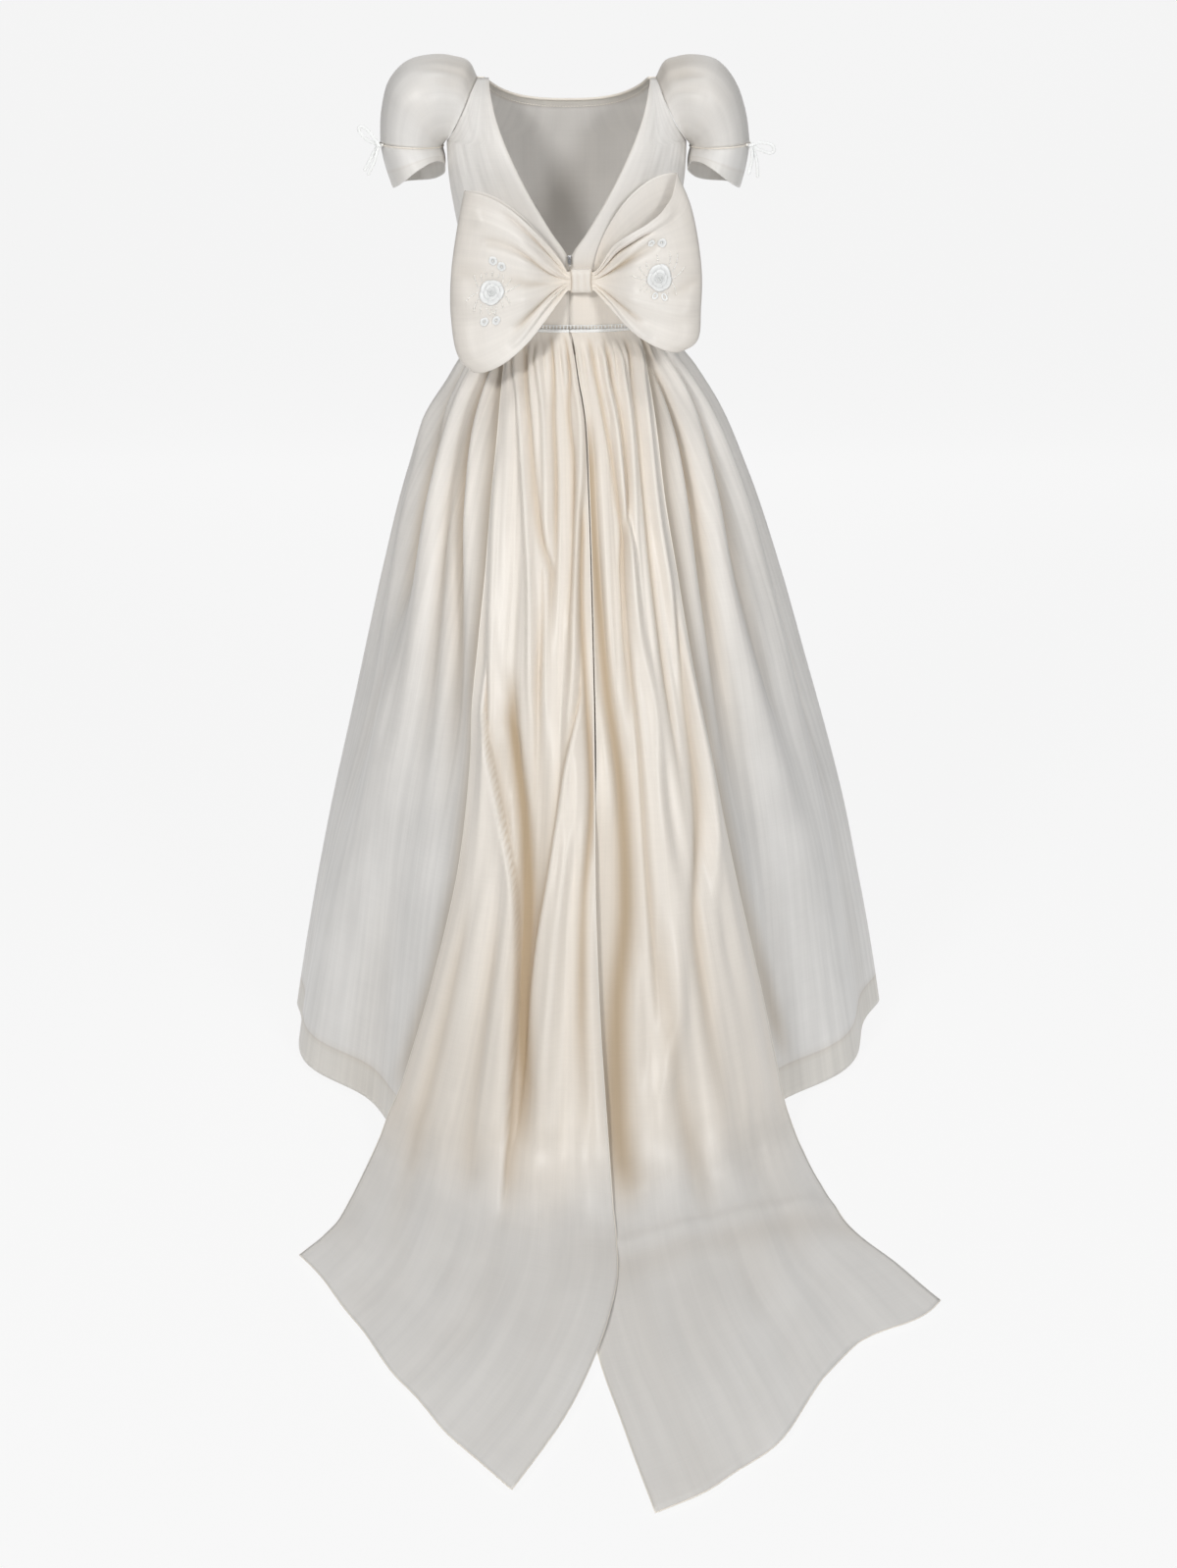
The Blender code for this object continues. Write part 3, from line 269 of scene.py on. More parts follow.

# Ridge across the right tail where it reaches the floor, with painted shade below it: share, row
# of the table
FLOOR_RIDGE = np.array([
    (0.000, 13.2), (0.135, 13.15), (0.405, 13.05), (0.735, 13.6), (1.000, 14.7),
])

# Ridge line of a sleeve: share of the way from armhole to tie, x, height
SLEEVE_RIDGE = np.array([
    (0.00, 0.1178, 1.3415),
    (0.08, 0.1270, 1.3600),
    (0.20, 0.1500, 1.3685),
    (0.36, 0.1800, 1.3700),
    (0.54, 0.2120, 1.3610),
    (0.70, 0.2340, 1.3380),
    (0.84, 0.2430, 1.3110),
    (0.93, 0.2470, 1.2850),
    (1.00, 0.2480, 1.2560),
])
SLEEVE_BELLY = 0.020
BELLY_POWER = 1.4
SLEEVE_PUFF = {-1: 1.0, 1: 0.62}
TIE_RING_X = {-1: 0.2065, 1: 0.2040}
TIE_RING_HALF_X = {-1: 0.0415, 1: 0.0395}
TIE_RING = dict(half_y=0.066, height=1.256, lean=0.002)
CUFF_HEM = dict(x=0.19675, half_x=0.03525, half_y=0.078, height=1.201, rise=0.027, wedge=0.023)
TIE_BOW_ANGLE = 0.60
TIE_KNOT_RADIUS = 0.0034

# Routes of a tie's loop and two ends, from the knot: out to the side, up
TIE_LOOP = {
    -1: ((0.0, 0.0), (0.006, 0.009), (0.014, 0.019), (0.021, 0.024), (0.026, 0.021),
         (0.022, 0.013), (0.012, 0.005), (0.0, 0.0)),
    1: ((0.0, 0.0), (0.009, 0.003), (0.019, 0.003), (0.028, 0.000), (0.031, -0.006),
        (0.026, -0.010), (0.015, -0.007), (0.0, 0.0)),
}
TIE_ENDS = {
    -1: (((0.0, 0.0), (0.003, -0.010), (0.007, -0.022), (0.015, -0.037)),
         ((0.0, 0.0), (0.007, -0.009), (0.013, -0.020), (0.020, -0.032))),
    1: (((0.0, 0.0), (0.002, -0.012), (0.001, -0.024), (-0.002, -0.036)),
        ((0.0, 0.0), (0.006, -0.012), (0.009, -0.025), (0.010, -0.040))),
}

# Outer fold of each bow loop, from the top edge down: share, x, height
LEFT_LOOP_FOLD = np.array([
    (0.00, -0.130, 1.208), (0.20, -0.139, 1.166), (0.45, -0.149, 1.100),
    (0.65, -0.150, 1.050), (0.88, -0.138, 0.995), (1.00, -0.121, 0.980),
])
RIGHT_LOOP_FOLD = np.array([
    (0.00, 0.142, 1.230), (0.20, 0.161, 1.186), (0.45, 0.175, 1.110),
    (0.65, 0.175, 1.060), (0.88, 0.168, 1.016), (1.00, 0.149, 1.006),
])
KNOT = dict(x=0.0195, half_x=0.0150, height=1.0915, half_height=0.0160, half_depth=0.0085)
KNOT_BACK_GAP = 0.0004
LOOP_END = dict(half_height=0.0122, reach=0.0075, half_depth=0.0040)
LOOP_DEPTH = 0.0160
LOOP_LEAN = 0.022
LOOP_DROP_LEAN = 0.022
LOOP_TOP_SLACK = {-1: 0.15, 1: 0.40}
LOOP_CREASE = 0.0034
LOOP_CREASES = 3

# How far the top edge of the right loop's front layer has opened, by share of the way out
RIGHT_FRONT_OPENING = np.array([
    (0.00, 0.00), (0.08, 0.00), (0.30, 0.29), (0.50, 0.42), (0.70, 0.53), (0.88, 0.69),
    (0.96, 0.83), (1.00, 1.00),
])

# Creases of the bow's front layers: width, depth, then the shares of the way out and down
LOOP_FRONT_CREASES = {
    -1: (
        (0.030, -0.0055, (0.04, 0.20, 0.385, 0.55, 0.71), (0.44, 0.36, 0.27, 0.245, 0.255)),
        (0.055, 0.0060, (0.04, 0.20, 0.40, 0.60, 0.80), (0.34, 0.26, 0.19, 0.165, 0.16)),
        (0.030, -0.0040, (0.04, 0.20, 0.40, 0.58), (0.20, 0.13, 0.08, 0.06)),
        (0.040, -0.0050, (0.04, 0.15, 0.30, 0.45), (0.62, 0.68, 0.75, 0.80)),
        (0.035, 0.0050, (0.04, 0.18, 0.34, 0.50), (0.76, 0.80, 0.86, 0.90)),
        (0.050, -0.0030, (0.20, 0.50, 0.75, 0.95), (0.52, 0.47, 0.44, 0.43)),
        (0.060, 0.0030, (0.30, 0.50, 0.75, 0.95), (0.64, 0.60, 0.60, 0.58)),
    ),
    1: (
        (0.035, -0.0060, (0.04, 0.16, 0.30, 0.44, 0.58), (0.26, 0.21, 0.17, 0.15, 0.13)),
        (0.045, 0.0040, (0.04, 0.20, 0.40, 0.62, 0.85), (0.16, 0.12, 0.09, 0.07, 0.06)),
        (0.045, -0.0065, (0.04, 0.18, 0.32, 0.46, 0.60), (0.42, 0.37, 0.33, 0.30, 0.28)),
        (0.045, -0.0038, (0.04, 0.15, 0.30, 0.44), (0.66, 0.74, 0.80, 0.83)),
        (0.050, 0.0055, (0.04, 0.20, 0.38, 0.56), (0.78, 0.86, 0.92, 0.94)),
        (0.030, -0.0025, (0.66, 0.80, 0.90, 0.97), (0.60, 0.55, 0.52, 0.50)),
        (0.050, 0.0035, (0.30, 0.50, 0.70, 0.90), (0.66, 0.66, 0.68, 0.66)),
    ),
}

# Flowers: name, side, share of the way out, share of the way down, radius, height
FLOWERS = (
    ("rose_left", -1, 0.668, 0.530, 0.0175, 0.0060),
    ("rose_right", 1, 0.630, 0.480, 0.0170, 0.0060),
    ("rosette_left_1", -1, 0.672, 0.350, 0.0052, 0.0026),
    ("rosette_left_2", -1, 0.600, 0.372, 0.0052, 0.0026),
    ("rosette_left_3", -1, 0.735, 0.690, 0.0052, 0.0026),
    ("rosette_left_4", -1, 0.640, 0.700, 0.0052, 0.0026),
    ("rosette_right_1", 1, 0.600, 0.262, 0.0052, 0.0026),
    ("rosette_right_2", 1, 0.690, 0.290, 0.0052, 0.0026),
)
SMALLEST_ROSE = 0.010
PETAL_WALL = 0.0004

# Trim that only the scene has: sizes in metres, twist in turns per metre
NECK_BINDING_RADIUS = 0.0019
NECK_STITCH = dict(drop=0.0085, spacing=0.0040, length=0.0023, radius=0.00038)
WAIST_CORD = dict(radius=0.0024, twist=180.0, lift=0.0032, drop=0.0010)
LADDER = dict(above=0.0020, off=0.0026, height=0.0042, spacing=0.0046, radius=0.0009,
              line_radius=0.0006, margin=0.003)
ROLLED_HEM_RADIUS = 0.0009
TIE_CORD_RADIUS = 0.0010
TIE_TAPE = dict(radius=0.0021, flat=0.35)
TIE_PEARL = 0.0036
HEART_BEAD = 0.0022
STEM_RADIUS = 0.00045

# Lights: name, place, the place that it points at, side, watts, colour
LIGHTS = (
    ("key", (-1.5, -3.3, 1.3), (0.0, 0.0, -0.5), 0.7, 53.0, (1.0, 0.99, 0.975)),
    ("fill", (1.7, -3.3, 0.9), (0.0, 0.0, -0.6), 0.7, 37.0, (0.98, 0.99, 1.0)),
    ("top", (0.2, -0.5, 2.2), (0.0, -0.1, -0.4), 0.8, 14.0, (1.0, 1.0, 1.0)),
)
CAMERA = dict(place=(0.029, -3.2, 0.16), tilt=19.75, lens=53.37, sensor=36.0)


def linear(code):
    """The linear colour of an sRGB hex value."""
    srgb = np.array([int(code[i:i + 2], 16) for i in (0, 2, 4)]) / 255.0
    flat = np.where(srgb <= 0.04045, srgb / 12.92, ((srgb + 0.055) / 1.055) ** 2.4)
    return tuple(float(value) for value in flat)


class DressSettings(PropertyGroup):
    """Colours and sizes of the cloth and its trim."""

    sheer: FloatVectorProperty(
        name="Single silk", description="Colour of one layer of silk, with light behind it",
        subtype='COLOR', size=3, min=0.0, max=1.0, default=linear("E9E7E4"))
    cream: FloatVectorProperty(
        name="Layered silk", description="Colour where several layers of silk lie together",
        subtype='COLOR', size=3, min=0.0, max=1.0, default=linear("F1E8DC"))
    pale: FloatVectorProperty(
        name="Turned silk", description="Colour of the turned-up hems, of two layers",
        subtype='COLOR', size=3, min=0.0, max=1.0, default=linear("E3DFD8"))
    binding: FloatVectorProperty(
        name="Binding", description="Colour of bindings, rolled edges and stitches",
        subtype='COLOR', size=3, min=0.0, max=1.0, default=linear("F5EEE3"))
    # The fold shade is painted shade: the colour is multiplied towards it in folds and creases.
    shade: FloatVectorProperty(
        name="Fold shade", description="What the depth of a fold multiplies the colour by",
        subtype='COLOR', size=3, min=0.0, max=1.0, default=linear("C9B9A2"))
    ribbon: FloatVectorProperty(
        name="Ribbon", description="Colour of the satin ribbon of the roses and ties",
        subtype='COLOR', size=3, min=0.0, max=1.0, default=linear("FAFBFA"))
    pearl: FloatVectorProperty(
        name="Pearl", description="Colour of the seed beads",
        subtype='COLOR', size=3, min=0.0, max=1.0, default=linear("FBF8F1"))
    metal: FloatVectorProperty(
        name="Zip metal", description="Colour of the nickel of the zip",
        subtype='COLOR', size=3, min=0.0, max=1.0, default=linear("C6C7C9"))
    wall: FloatProperty(
        name="Cloth wall", description="Thickness of the silk with its organza",
        unit='LENGTH', default=0.0010, min=0.0004, max=0.0015)
    slub: FloatProperty(
        name="Slub width", description="Width of a thick thread in the silk",
        unit='LENGTH', default=0.0022, min=0.0005, max=0.01)
    bead: FloatProperty(
        name="Bead", description="Diameter of a seed bead",
        unit='LENGTH', default=0.0024, min=0.001, max=0.004)


def smoothstep(value):
    """An S-shaped ramp from 0 to 1, as the value goes from 0 to 1."""
    t = np.clip(value, 0.0, 1.0)
    return t * t * (3.0 - 2.0 * t)


def through(table, column, at):
    """A cubic curve through one column of a table, whose first column rises."""
    xs, ys = table[:, 0], table[:, column]
    slopes = np.gradient(ys, xs)
    at = np.clip(np.asarray(at, dtype=float), xs[0], xs[-1])
    i = np.clip(np.searchsorted(xs, at, side="right") - 1, 0, len(xs) - 2)
    step = xs[i + 1] - xs[i]
    t = (at - xs[i]) / step
    start = ys[i] * (1 + 2 * t) * (1 - t) ** 2 + slopes[i] * step * t * (1 - t) ** 2
    end = ys[i + 1] * t * t * (3 - 2 * t) + slopes[i + 1] * step * t * t * (t - 1)
    return start + end


def soft_noise(u, v, seed=0.0):
    """Smooth uneven relief between -1 and 1: five sine waves at odd angles and lengths."""
    total = 0.0
    for k, (a, b) in enumerate(((1.0, 0.31), (-0.62, 1.27), (1.73, -0.84), (0.41, 2.11),
                                (2.37, 1.13))):
        total = total + np.sin(a * u + b * v + seed * (k + 1.7) + 2.1 * k) / (1 + 0.35 * k)
    return total / 3.1


def bell(values, middle, width):
    """A bell curve: 1 at its middle, and 1/e a width away from it."""
    return np.exp(-((values - middle) / width) ** 2)


def bounded(values, low, high, blend):
    """1 between two limits, with soft ends that are blend wide."""
    return smoothstep((values - low) / blend) * smoothstep((high - values) / blend)


def grid(rows, columns):
    """The two parameters of a grid at each of its points."""
    return np.meshgrid(rows, columns, indexing="ij")


def ring_angles(count):
    """Angles spaced evenly round a ring, from 0."""
    return np.linspace(0.0, 2 * math.pi, count, endpoint=False)


def squared_off(wave, power):
    """A sine or cosine to a power, with its sign kept: it makes a circle squarer."""
    return np.sign(wave) * np.abs(wave) ** power


def half_turns(degrees):
    """An angle in degrees, brought between -180 and 180."""
    return (degrees + 180.0) % 360.0 - 180.0


def run_along(path):
    """The distance along a path at each of its places."""
    return np.concatenate([[0.0], np.cumsum(np.linalg.norm(np.diff(path, axis=0), axis=1))])


def places_at(path, spots):
    """The places that lie at some distances along a path."""
    run = run_along(path)
    return np.stack([np.interp(spots, run, path[:, k]) for k in range(3)], axis=-1)


def grid_faces(rows, columns, closed):
    """Corner indices of the quads of a grid, and the same on a grid that isn't wrapped."""
    last = columns if closed else columns - 1
    r, c = grid(np.arange(rows - 1), np.arange(last))
    after = (c + 1) % columns
    wrapped = np.stack([r * columns + c, r * columns + after, (r + 1) * columns + after,
                        (r + 1) * columns + c], axis=-1).reshape(-1, 4)
    wide = last + 1
    flat = np.stack([r * wide + c, r * wide + c + 1, (r + 1) * wide + c + 1,
                     (r + 1) * wide + c], axis=-1).reshape(-1, 4)
    return wrapped, flat


def mesh_from(name, places, faces):
    """A mesh from an array of places and an array of quads or triangles."""
    mesh = bpy.data.meshes.new(name)
    mesh.vertices.add(len(places))
    mesh.vertices.foreach_set("co", np.ascontiguousarray(places, dtype=np.float32).ravel())
    mesh.loops.add(faces.size)
    mesh.loops.foreach_set("vertex_index", faces.astype(np.int32).ravel())
    mesh.polygons.add(len(faces))
    mesh.polygons.foreach_set("loop_start", np.arange(len(faces), dtype=np.int32)
                              * faces.shape[1])
    mesh.update(calc_edges=True)
    mesh.shade_smooth()
    return mesh


def store_tone(mesh, tone):
    """Keeps three numbers for each point of a mesh, in the attribute that its silk reads."""
    colours = np.ones((len(tone), 4))
    colours[:, :3] = tone
    mesh.attributes.new("tone", 'FLOAT_COLOR', 'POINT').data.foreach_set(
        "color", colours.astype(np.float32).ravel())


def walled(piece, wall, outward):
    """Gives an open sheet its wall, on the side that its faces point to where outward is 1."""
    thick = piece.modifiers.new("Wall", 'SOLIDIFY')
    thick.thickness = wall
    thick.offset = outward
    return piece


def placed(name, mesh, look):
    """An object at the origin that holds a mesh and its material."""
    mesh.materials.append(look)
    made = bpy.data.objects.new(name, mesh)
    bpy.context.scene.collection.objects.link(made)
    return made


def cloth(name, points, look, inside, size, tone, wall, closed=False, outward=1.0):
    """A sheet on a grid of points, whose faces point away from the place called inside.

    size is the width and length that its weave is laid out on. tone holds three numbers
    for each point: how many layers show, how far it is turned-up hem, and how much painted
    shade it gets in folds and creases, with a few stitch lines.
    """
    points = np.asarray(points, dtype=float).copy()
    points[..., 2] -= SHOULDER_HEIGHT
    rows, columns = points.shape[:2]
    faces, corners = grid_faces(rows, columns, closed)
    flat = points.reshape(-1, 3)
    middle = np.asarray(inside, dtype=float) - (0.0, 0.0, SHOULDER_HEIGHT)
    quads = flat[faces]
    normals = np.cross(quads[:, 2] - quads[:, 0], quads[:, 3] - quads[:, 1])
    if np.sum(normals * (quads.mean(axis=1) - middle)) < 0:
        faces, corners = faces[:, ::-1], corners[:, ::-1]
    mesh = mesh_from(name, flat, faces)
    v, u = grid(np.linspace(0, size[1], rows),
                np.linspace(0, size[0], columns + int(closed)))
    uv = np.stack([u.ravel(), v.ravel()], axis=-1)[corners.ravel()]
    mesh.uv_layers.new(name="cloth").data.foreach_set("uv", uv.astype(np.float32).ravel())
    store_tone(mesh, np.clip(tone, 0.0, 1.0).reshape(-1, 3))
    return walled(placed(name, mesh, look), wall, outward)


def tones(shape, layers=0.0, turned=0.0, fold=0.0):
    """The three numbers of each point of a cloth, as one array: layers, turned hem, and painted
    fold shade.
    """
    full = np.zeros(shape + (3,))
    full[..., 0] = layers
    full[..., 1] = turned
    full[..., 2] = fold
    return full


def swept(path, radius, sides=10, flat=1.0, twist=0.0, up=(0.0, 0.0, 1.0), closed=False):
    """Rings of a cord: a circle, or an ellipse where flat isn't 1, carried along a path.

    Its width lies across the way and the direction called up, and twist gives a two-ply
    cord its lay, in turns per metre. An open cord narrows to a point at both ends.
    """
    path = np.asarray(path, dtype=float)
    radii = np.broadcast_to(np.asarray(radius, dtype=float), (len(path),)).copy()
    if closed:
        along = np.roll(path, -1, axis=0) - np.roll(path, 1, axis=0)
    else:
        along = np.gradient(path, axis=0)
        first = along[0] / np.linalg.norm(along[0])
        last = along[-1] / np.linalg.norm(along[-1])
        path = np.concatenate([
            [path[0] - first * radii[0] * 0.8], [path[0] - first * radii[0] * 0.4], path,
            [path[-1] + last * radii[-1] * 0.4], [path[-1] + last * radii[-1] * 0.8]])
        along = np.concatenate([[first, first], along, [last, last]])
        radii = np.concatenate([[1e-7, radii[0] * 0.75], radii, [radii[-1] * 0.75, 1e-7]])
    along = along / np.linalg.norm(along, axis=1)[:, None]
    across = np.cross(along, np.asarray(up, dtype=float))
    across /= np.maximum(np.linalg.norm(across, axis=1), 1e-9)[:, None]
    over = np.cross(across, along)
    turn = ring_angles(sides)
    lay = 1.0
    if twist:
        run = run_along(path)[:, None]
        lay = 1.0 - 0.16 * np.cos(2 * (turn[None, :] + 2 * math.pi * twist * run))
    size = radii[:, None] * lay
    return path[:, None, :] + (across[:, None, :] * np.cos(turn)[None, :, None]
                               + over[:, None, :] * flat * np.sin(turn)[None, :, None]
                               ) * size[..., None]


def ring_mesh(name, pieces, closed=False):
    """One mesh from several sets of rings, each a closed skin, with its faces outwards."""
    places, faces, start = [], [], 0
    for rings in pieces:
        rows, columns = rings.shape[:2]
        quads = grid_faces(rows, columns, True)[0]
        if closed:
            c = np.arange(columns)
            seam = np.stack([(rows - 1) * columns + c, (rows - 1) * columns + (c + 1) % columns,
                             (c + 1) % columns, c], axis=-1)
            quads = np.concatenate([quads, seam])
        flat = rings.reshape(-1, 3)
        corners = flat[quads]
        volume = np.sum(np.cross(corners[:, 2] - corners[:, 0], corners[:, 3] - corners[:, 1])
                        * (corners.mean(axis=1) - flat.mean(axis=0)))
        places.append(flat)
        faces.append((quads if volume > 0 else quads[:, ::-1]) + start)
        start += len(flat)
    everything = np.concatenate(places)
    everything[:, 2] -= SHOULDER_HEIGHT
    return mesh_from(name, everything, np.concatenate(faces))


def welded(piece, distance=0.000002):
    """Closes the points at the ends of a cord."""
    weld = piece.modifiers.new("Weld", 'WELD')
    weld.merge_threshold = distance
    return piece


def smooth_path(points, count):
    """A smooth path through a few points, with count places evenly along its numbers."""
    points = np.asarray(points, dtype=float)
    table = np.column_stack([np.arange(len(points), dtype=float), points])
    at = np.linspace(0.0, len(points) - 1.0, count)
    return np.stack([through(table, k + 1, at) for k in range(points.shape[1])], axis=-1)


def add_node(tree, kind, sockets=None, links=None, **settings):
    """One node with its settings, the values of its sockets and the links into them."""
    node = tree.nodes.new(kind)
    for key, value in settings.items():
        setattr(node, key, value)
    for socket, value in (sockets or {}).items():
        node.inputs[socket].default_value = value
    for socket, (source, output) in (links or {}).items():
        tree.links.new(source.outputs[output], node.inputs[socket])
    return node


def feed(tree, node, shader, socket):
    """Links a node's first output into a socket of the shader."""
    tree.links.new(node.outputs[0], shader.inputs[socket])


def ranged(tree, source, low, high, start, end, output=0):
    """Maps an output of a node from low and high to start and end, with its ends held."""
    return add_node(tree, "ShaderNodeMapRange", {1: low, 2: high, 3: start, 4: end},
                    {0: (source, output)})


def noise(tree, place, output, scale, detail, flat='3D'):
    """Smooth noise over the places that a node's output gives."""
    return add_node(tree, "ShaderNodeTexNoise", {"Scale": scale, "Detail": detail},
                    {"Vector": (place, output)}, noise_dimensions=flat)


def woven(tree, uv, across, along, detail):
    """Noise on the cloth, with cells that are 1/across wide and 1/along long in metres."""
    laid = add_node(tree, "ShaderNodeMapping", {"Scale": (across, along, 1.0)},
                    {"Vector": (uv, 0)})
    return noise(tree, laid, 0, 1.0, detail, '2D')


def math_node(tree, first, second, operation):
    """Two values added or multiplied."""
    return add_node(tree, "ShaderNodeMath", links={0: (first, 0), 1: (second, 0)},
                    operation=operation)


def new_material(name, colour, roughness, **sockets):
    """A material with one Principled shader, its output, and the shader's plain values."""
    made = bpy.data.materials.new(name)
    made.use_nodes = True
    tree = made.node_tree
    tree.nodes.clear()
    shader = add_node(tree, "ShaderNodeBsdfPrincipled", {
        "Base Color": (*colour, 1.0), "Roughness": roughness,
        **{key.replace("_", " "): value for key, value in sockets.items()}})
    add_node(tree, "ShaderNodeOutputMaterial", links={"Surface": (shader, 0)})
    return made, tree, shader


def silk_material(name, look, roughness=0.40, cloud=0.05):
    """Plain-woven silk satin over organza: a soft wide lustre, and slubs in both threads.

    The real threads are 0.1 mm apart, too fine for any view, so the slubs are drawn about
    2 mm wide and 60 to 150 mm long. Long streaks of painted sheen make the colour lighter
    and darker along the cloth. The colour goes from one layer to several by the cloth's own
    tone, then to the turned hem's. It is multiplied towards the fold shade by the tone's
    third number, which is mostly painted shade in folds, creases and seams and also darkens
    a few stitch lines. The specular level is turned down with it.
    """
    made, tree, shader = new_material(
        name, look.cream, roughness, Sheen_Weight=0.05, Sheen_Roughness=0.45)
    tone = add_node(tree, "ShaderNodeAttribute", attribute_name="tone")
    split = add_node(tree, "ShaderNodeSeparateColor", links={0: (tone, "Color")})
    uv = add_node(tree, "ShaderNodeUVMap", uv_map="cloth")
    both = math_node(tree, woven(tree, uv, 1.0 / look.slub, 1.0 / 0.15, 2.0),
                     woven(tree, uv, 1.0 / 0.06, 1.0 / look.slub, 2.0), 'ADD')
    # Painted sheen: long narrow streaks that lighten and darken the colour, in place of the
    # satin's lustre.
    painted_sheen_streaks = woven(tree, uv, 70.0, 2.2, 3.0)
    patches = woven(tree, uv, 14.0, 9.0, 3.0)
    layered = add_node(tree, "ShaderNodeMix", {6: (*look.sheer, 1.0), 7: (*look.cream, 1.0)},
                       {0: (split, 0)}, data_type='RGBA')
    turned = add_node(tree, "ShaderNodeMix", {7: (*look.pale, 1.0)},
                      {0: (split, 1), 6: (layered, 2)}, data_type='RGBA')
    # Painted shade: the colour is multiplied towards the fold shade by the tone's third number.
    shaded = add_node(tree, "ShaderNodeMix", {7: (*look.shade, 1.0)},
                      {0: (split, 2), 6: (turned, 2)}, data_type='RGBA',
                      blend_type='MULTIPLY')
    fine = ranged(tree, both, 0.6, 1.4, 0.985, 1.015)
    wide = ranged(tree, patches, 0.3, 0.7, 1.0 - cloud / 2, 1.0 + cloud / 2)
    # This lustre factor is painted sheen, taken from the streaks.
    lustre = ranged(tree, painted_sheen_streaks, 0.3, 0.7, 1.0 - 0.7 * cloud, 1.0 + 0.7 * cloud)
    level = math_node(tree, math_node(tree, fine, wide, 'MULTIPLY'), lustre, 'MULTIPLY')
    colour = add_node(tree, "ShaderNodeVectorMath", links={0: (shaded, 2), 3: (level, 0)},
                      operation='SCALE')
    feed(tree, colour, shader, "Base Color")
    # The specular level drops where shade is painted, so the folds lose their highlight.
    feed(tree, ranged(tree, split, 0.0, 0.8, 0.50, 0.04, 2), shader, "Specular IOR Level")
    feed(tree, ranged(tree, both, 0.6, 1.4, roughness - 0.05, roughness + 0.07), shader,
         "Roughness")
    bump = add_node(tree, "ShaderNodeBump", {"Strength": 0.15, "Distance": 0.0004},
                    {"Height": (both, 0)})
    feed(tree, bump, shader, "Normal")
    return made


def ribbon_material(name, colour, roughness=0.28, rib_mm=1.1):
    """Satin ribbon or rouleau: a close rib along it, smooth enough for a bright lustre."""
    made, tree, shader = new_material(name, colour, roughness, Sheen_Weight=0.15)
    place = add_node(tree, "ShaderNodeTexCoord")
    ribs = noise(tree, place, "Object", 1000.0 / rib_mm, 1.0)
    shade = add_node(tree, "ShaderNodeVectorMath", {0: colour},
                     {3: (ranged(tree, ribs, 0.3, 0.7, 0.96, 1.03), 0)}, operation='SCALE')
    feed(tree, shade, shader, "Base Color")
    feed(tree, ranged(tree, ribs, 0.3, 0.7, roughness - 0.04, roughness + 0.06), shader,
         "Roughness")
    bump = add_node(tree, "ShaderNodeBump", {"Strength": 0.25, "Distance": 0.0002},
                    {"Height": (ribs, 0)})
    feed(tree, bump, shader, "Normal")
    return made, tree, shader


def ribbon_silk(name, colour, roughness=0.28, rib_mm=1.1):
    """The plain ribbon material alone."""
    return ribbon_material(name, colour, roughness, rib_mm)[0]


def petal_material(name, colour, roughness=0.34):
    """Narrow satin ribbon folded to petals: its colour greys to half with painted shade, at the
    petals' roots and where they lap.
    """
    made, tree, shader = ribbon_material(name, colour, roughness, 0.9)
    lit = shader.inputs["Base Color"].links[0].from_node
    tone = add_node(tree, "ShaderNodeAttribute", attribute_name="tone")
    # Painted shade: the tone darkens the ribbon's colour down to half.
    deep = ranged(tree, tone, 0.0, 1.0, 1.0, 0.50, "Fac")
    shaded = add_node(tree, "ShaderNodeVectorMath", links={0: (lit, 0), 3: (deep, 0)},
                      operation='SCALE')
    feed(tree, shaded, shader, "Base Color")
    return made


def pearl_material(name, colour):
    """Pearl-coated glass beads: a hard clear skin over a milky body."""
    made, tree, shader = new_material(name, colour, 0.22, Coat_Weight=0.6,
                                      Coat_Roughness=0.08, Sheen_Weight=0.1)
    place = add_node(tree, "ShaderNodeTexCoord")
    milk = noise(tree, place, "Object", 240.0, 1.0)
    shade = add_node(tree, "ShaderNodeVectorMath", {0: colour},
                     {3: (ranged(tree, milk, 0.3, 0.7, 0.88, 1.04), 0)}, operation='SCALE')
    feed(tree, shade, shader, "Base Color")
    return made


def nickel_material(name, colour):
    """Nickel plate on die-cast zinc: bright, with fine tumbling marks."""
    made, tree, shader = new_material(name, colour, 0.24, Metallic=1.0)
    place = add_node(tree, "ShaderNodeTexCoord")
    marks = noise(tree, place, "Object", 1800.0, 2.0)
    feed(tree, ranged(tree, marks, 0.3, 0.7, 0.18, 0.34), shader, "Roughness")
    return made


def material_named(name, maker, *values):
    """A material of this name, made the first time that it is asked for."""
    return bpy.data.materials.get(name) or maker(name, *values)


def silk(look, kind="silk"):
    """The silk of one kind of piece."""
    rough, cloud = {"silk_skirt": (0.44, 0.07), "silk_tail": (0.38, 0.04),
                    "silk_bow": (0.40, 0.03)}.get(kind, (0.42, 0.04))
    return material_named(kind + "_satin", silk_material, look, rough, cloud)


def silk_plain(look):
    """The cream silk of bindings, rolled edges and stitches."""
    return material_named("silk_binding", ribbon_silk, tuple(look.binding), 0.42, 0.8)


def white_rouleau(look):
    """The white satin of the ties and of the waist cord."""
    return material_named("rouleau_satin", ribbon_silk, tuple(look.ribbon))


def seed_pearl(look):
    """The pearl of the seed beads and of the ties."""
    return material_named("pearl_bead", pearl_material, tuple(look.pearl))


def declare(piece, nodes, body="dress"):
    """Says which body a piece rides on and the nodes that it stands for."""
    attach(piece, body)
    if nodes:
        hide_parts(*nodes)
    return piece


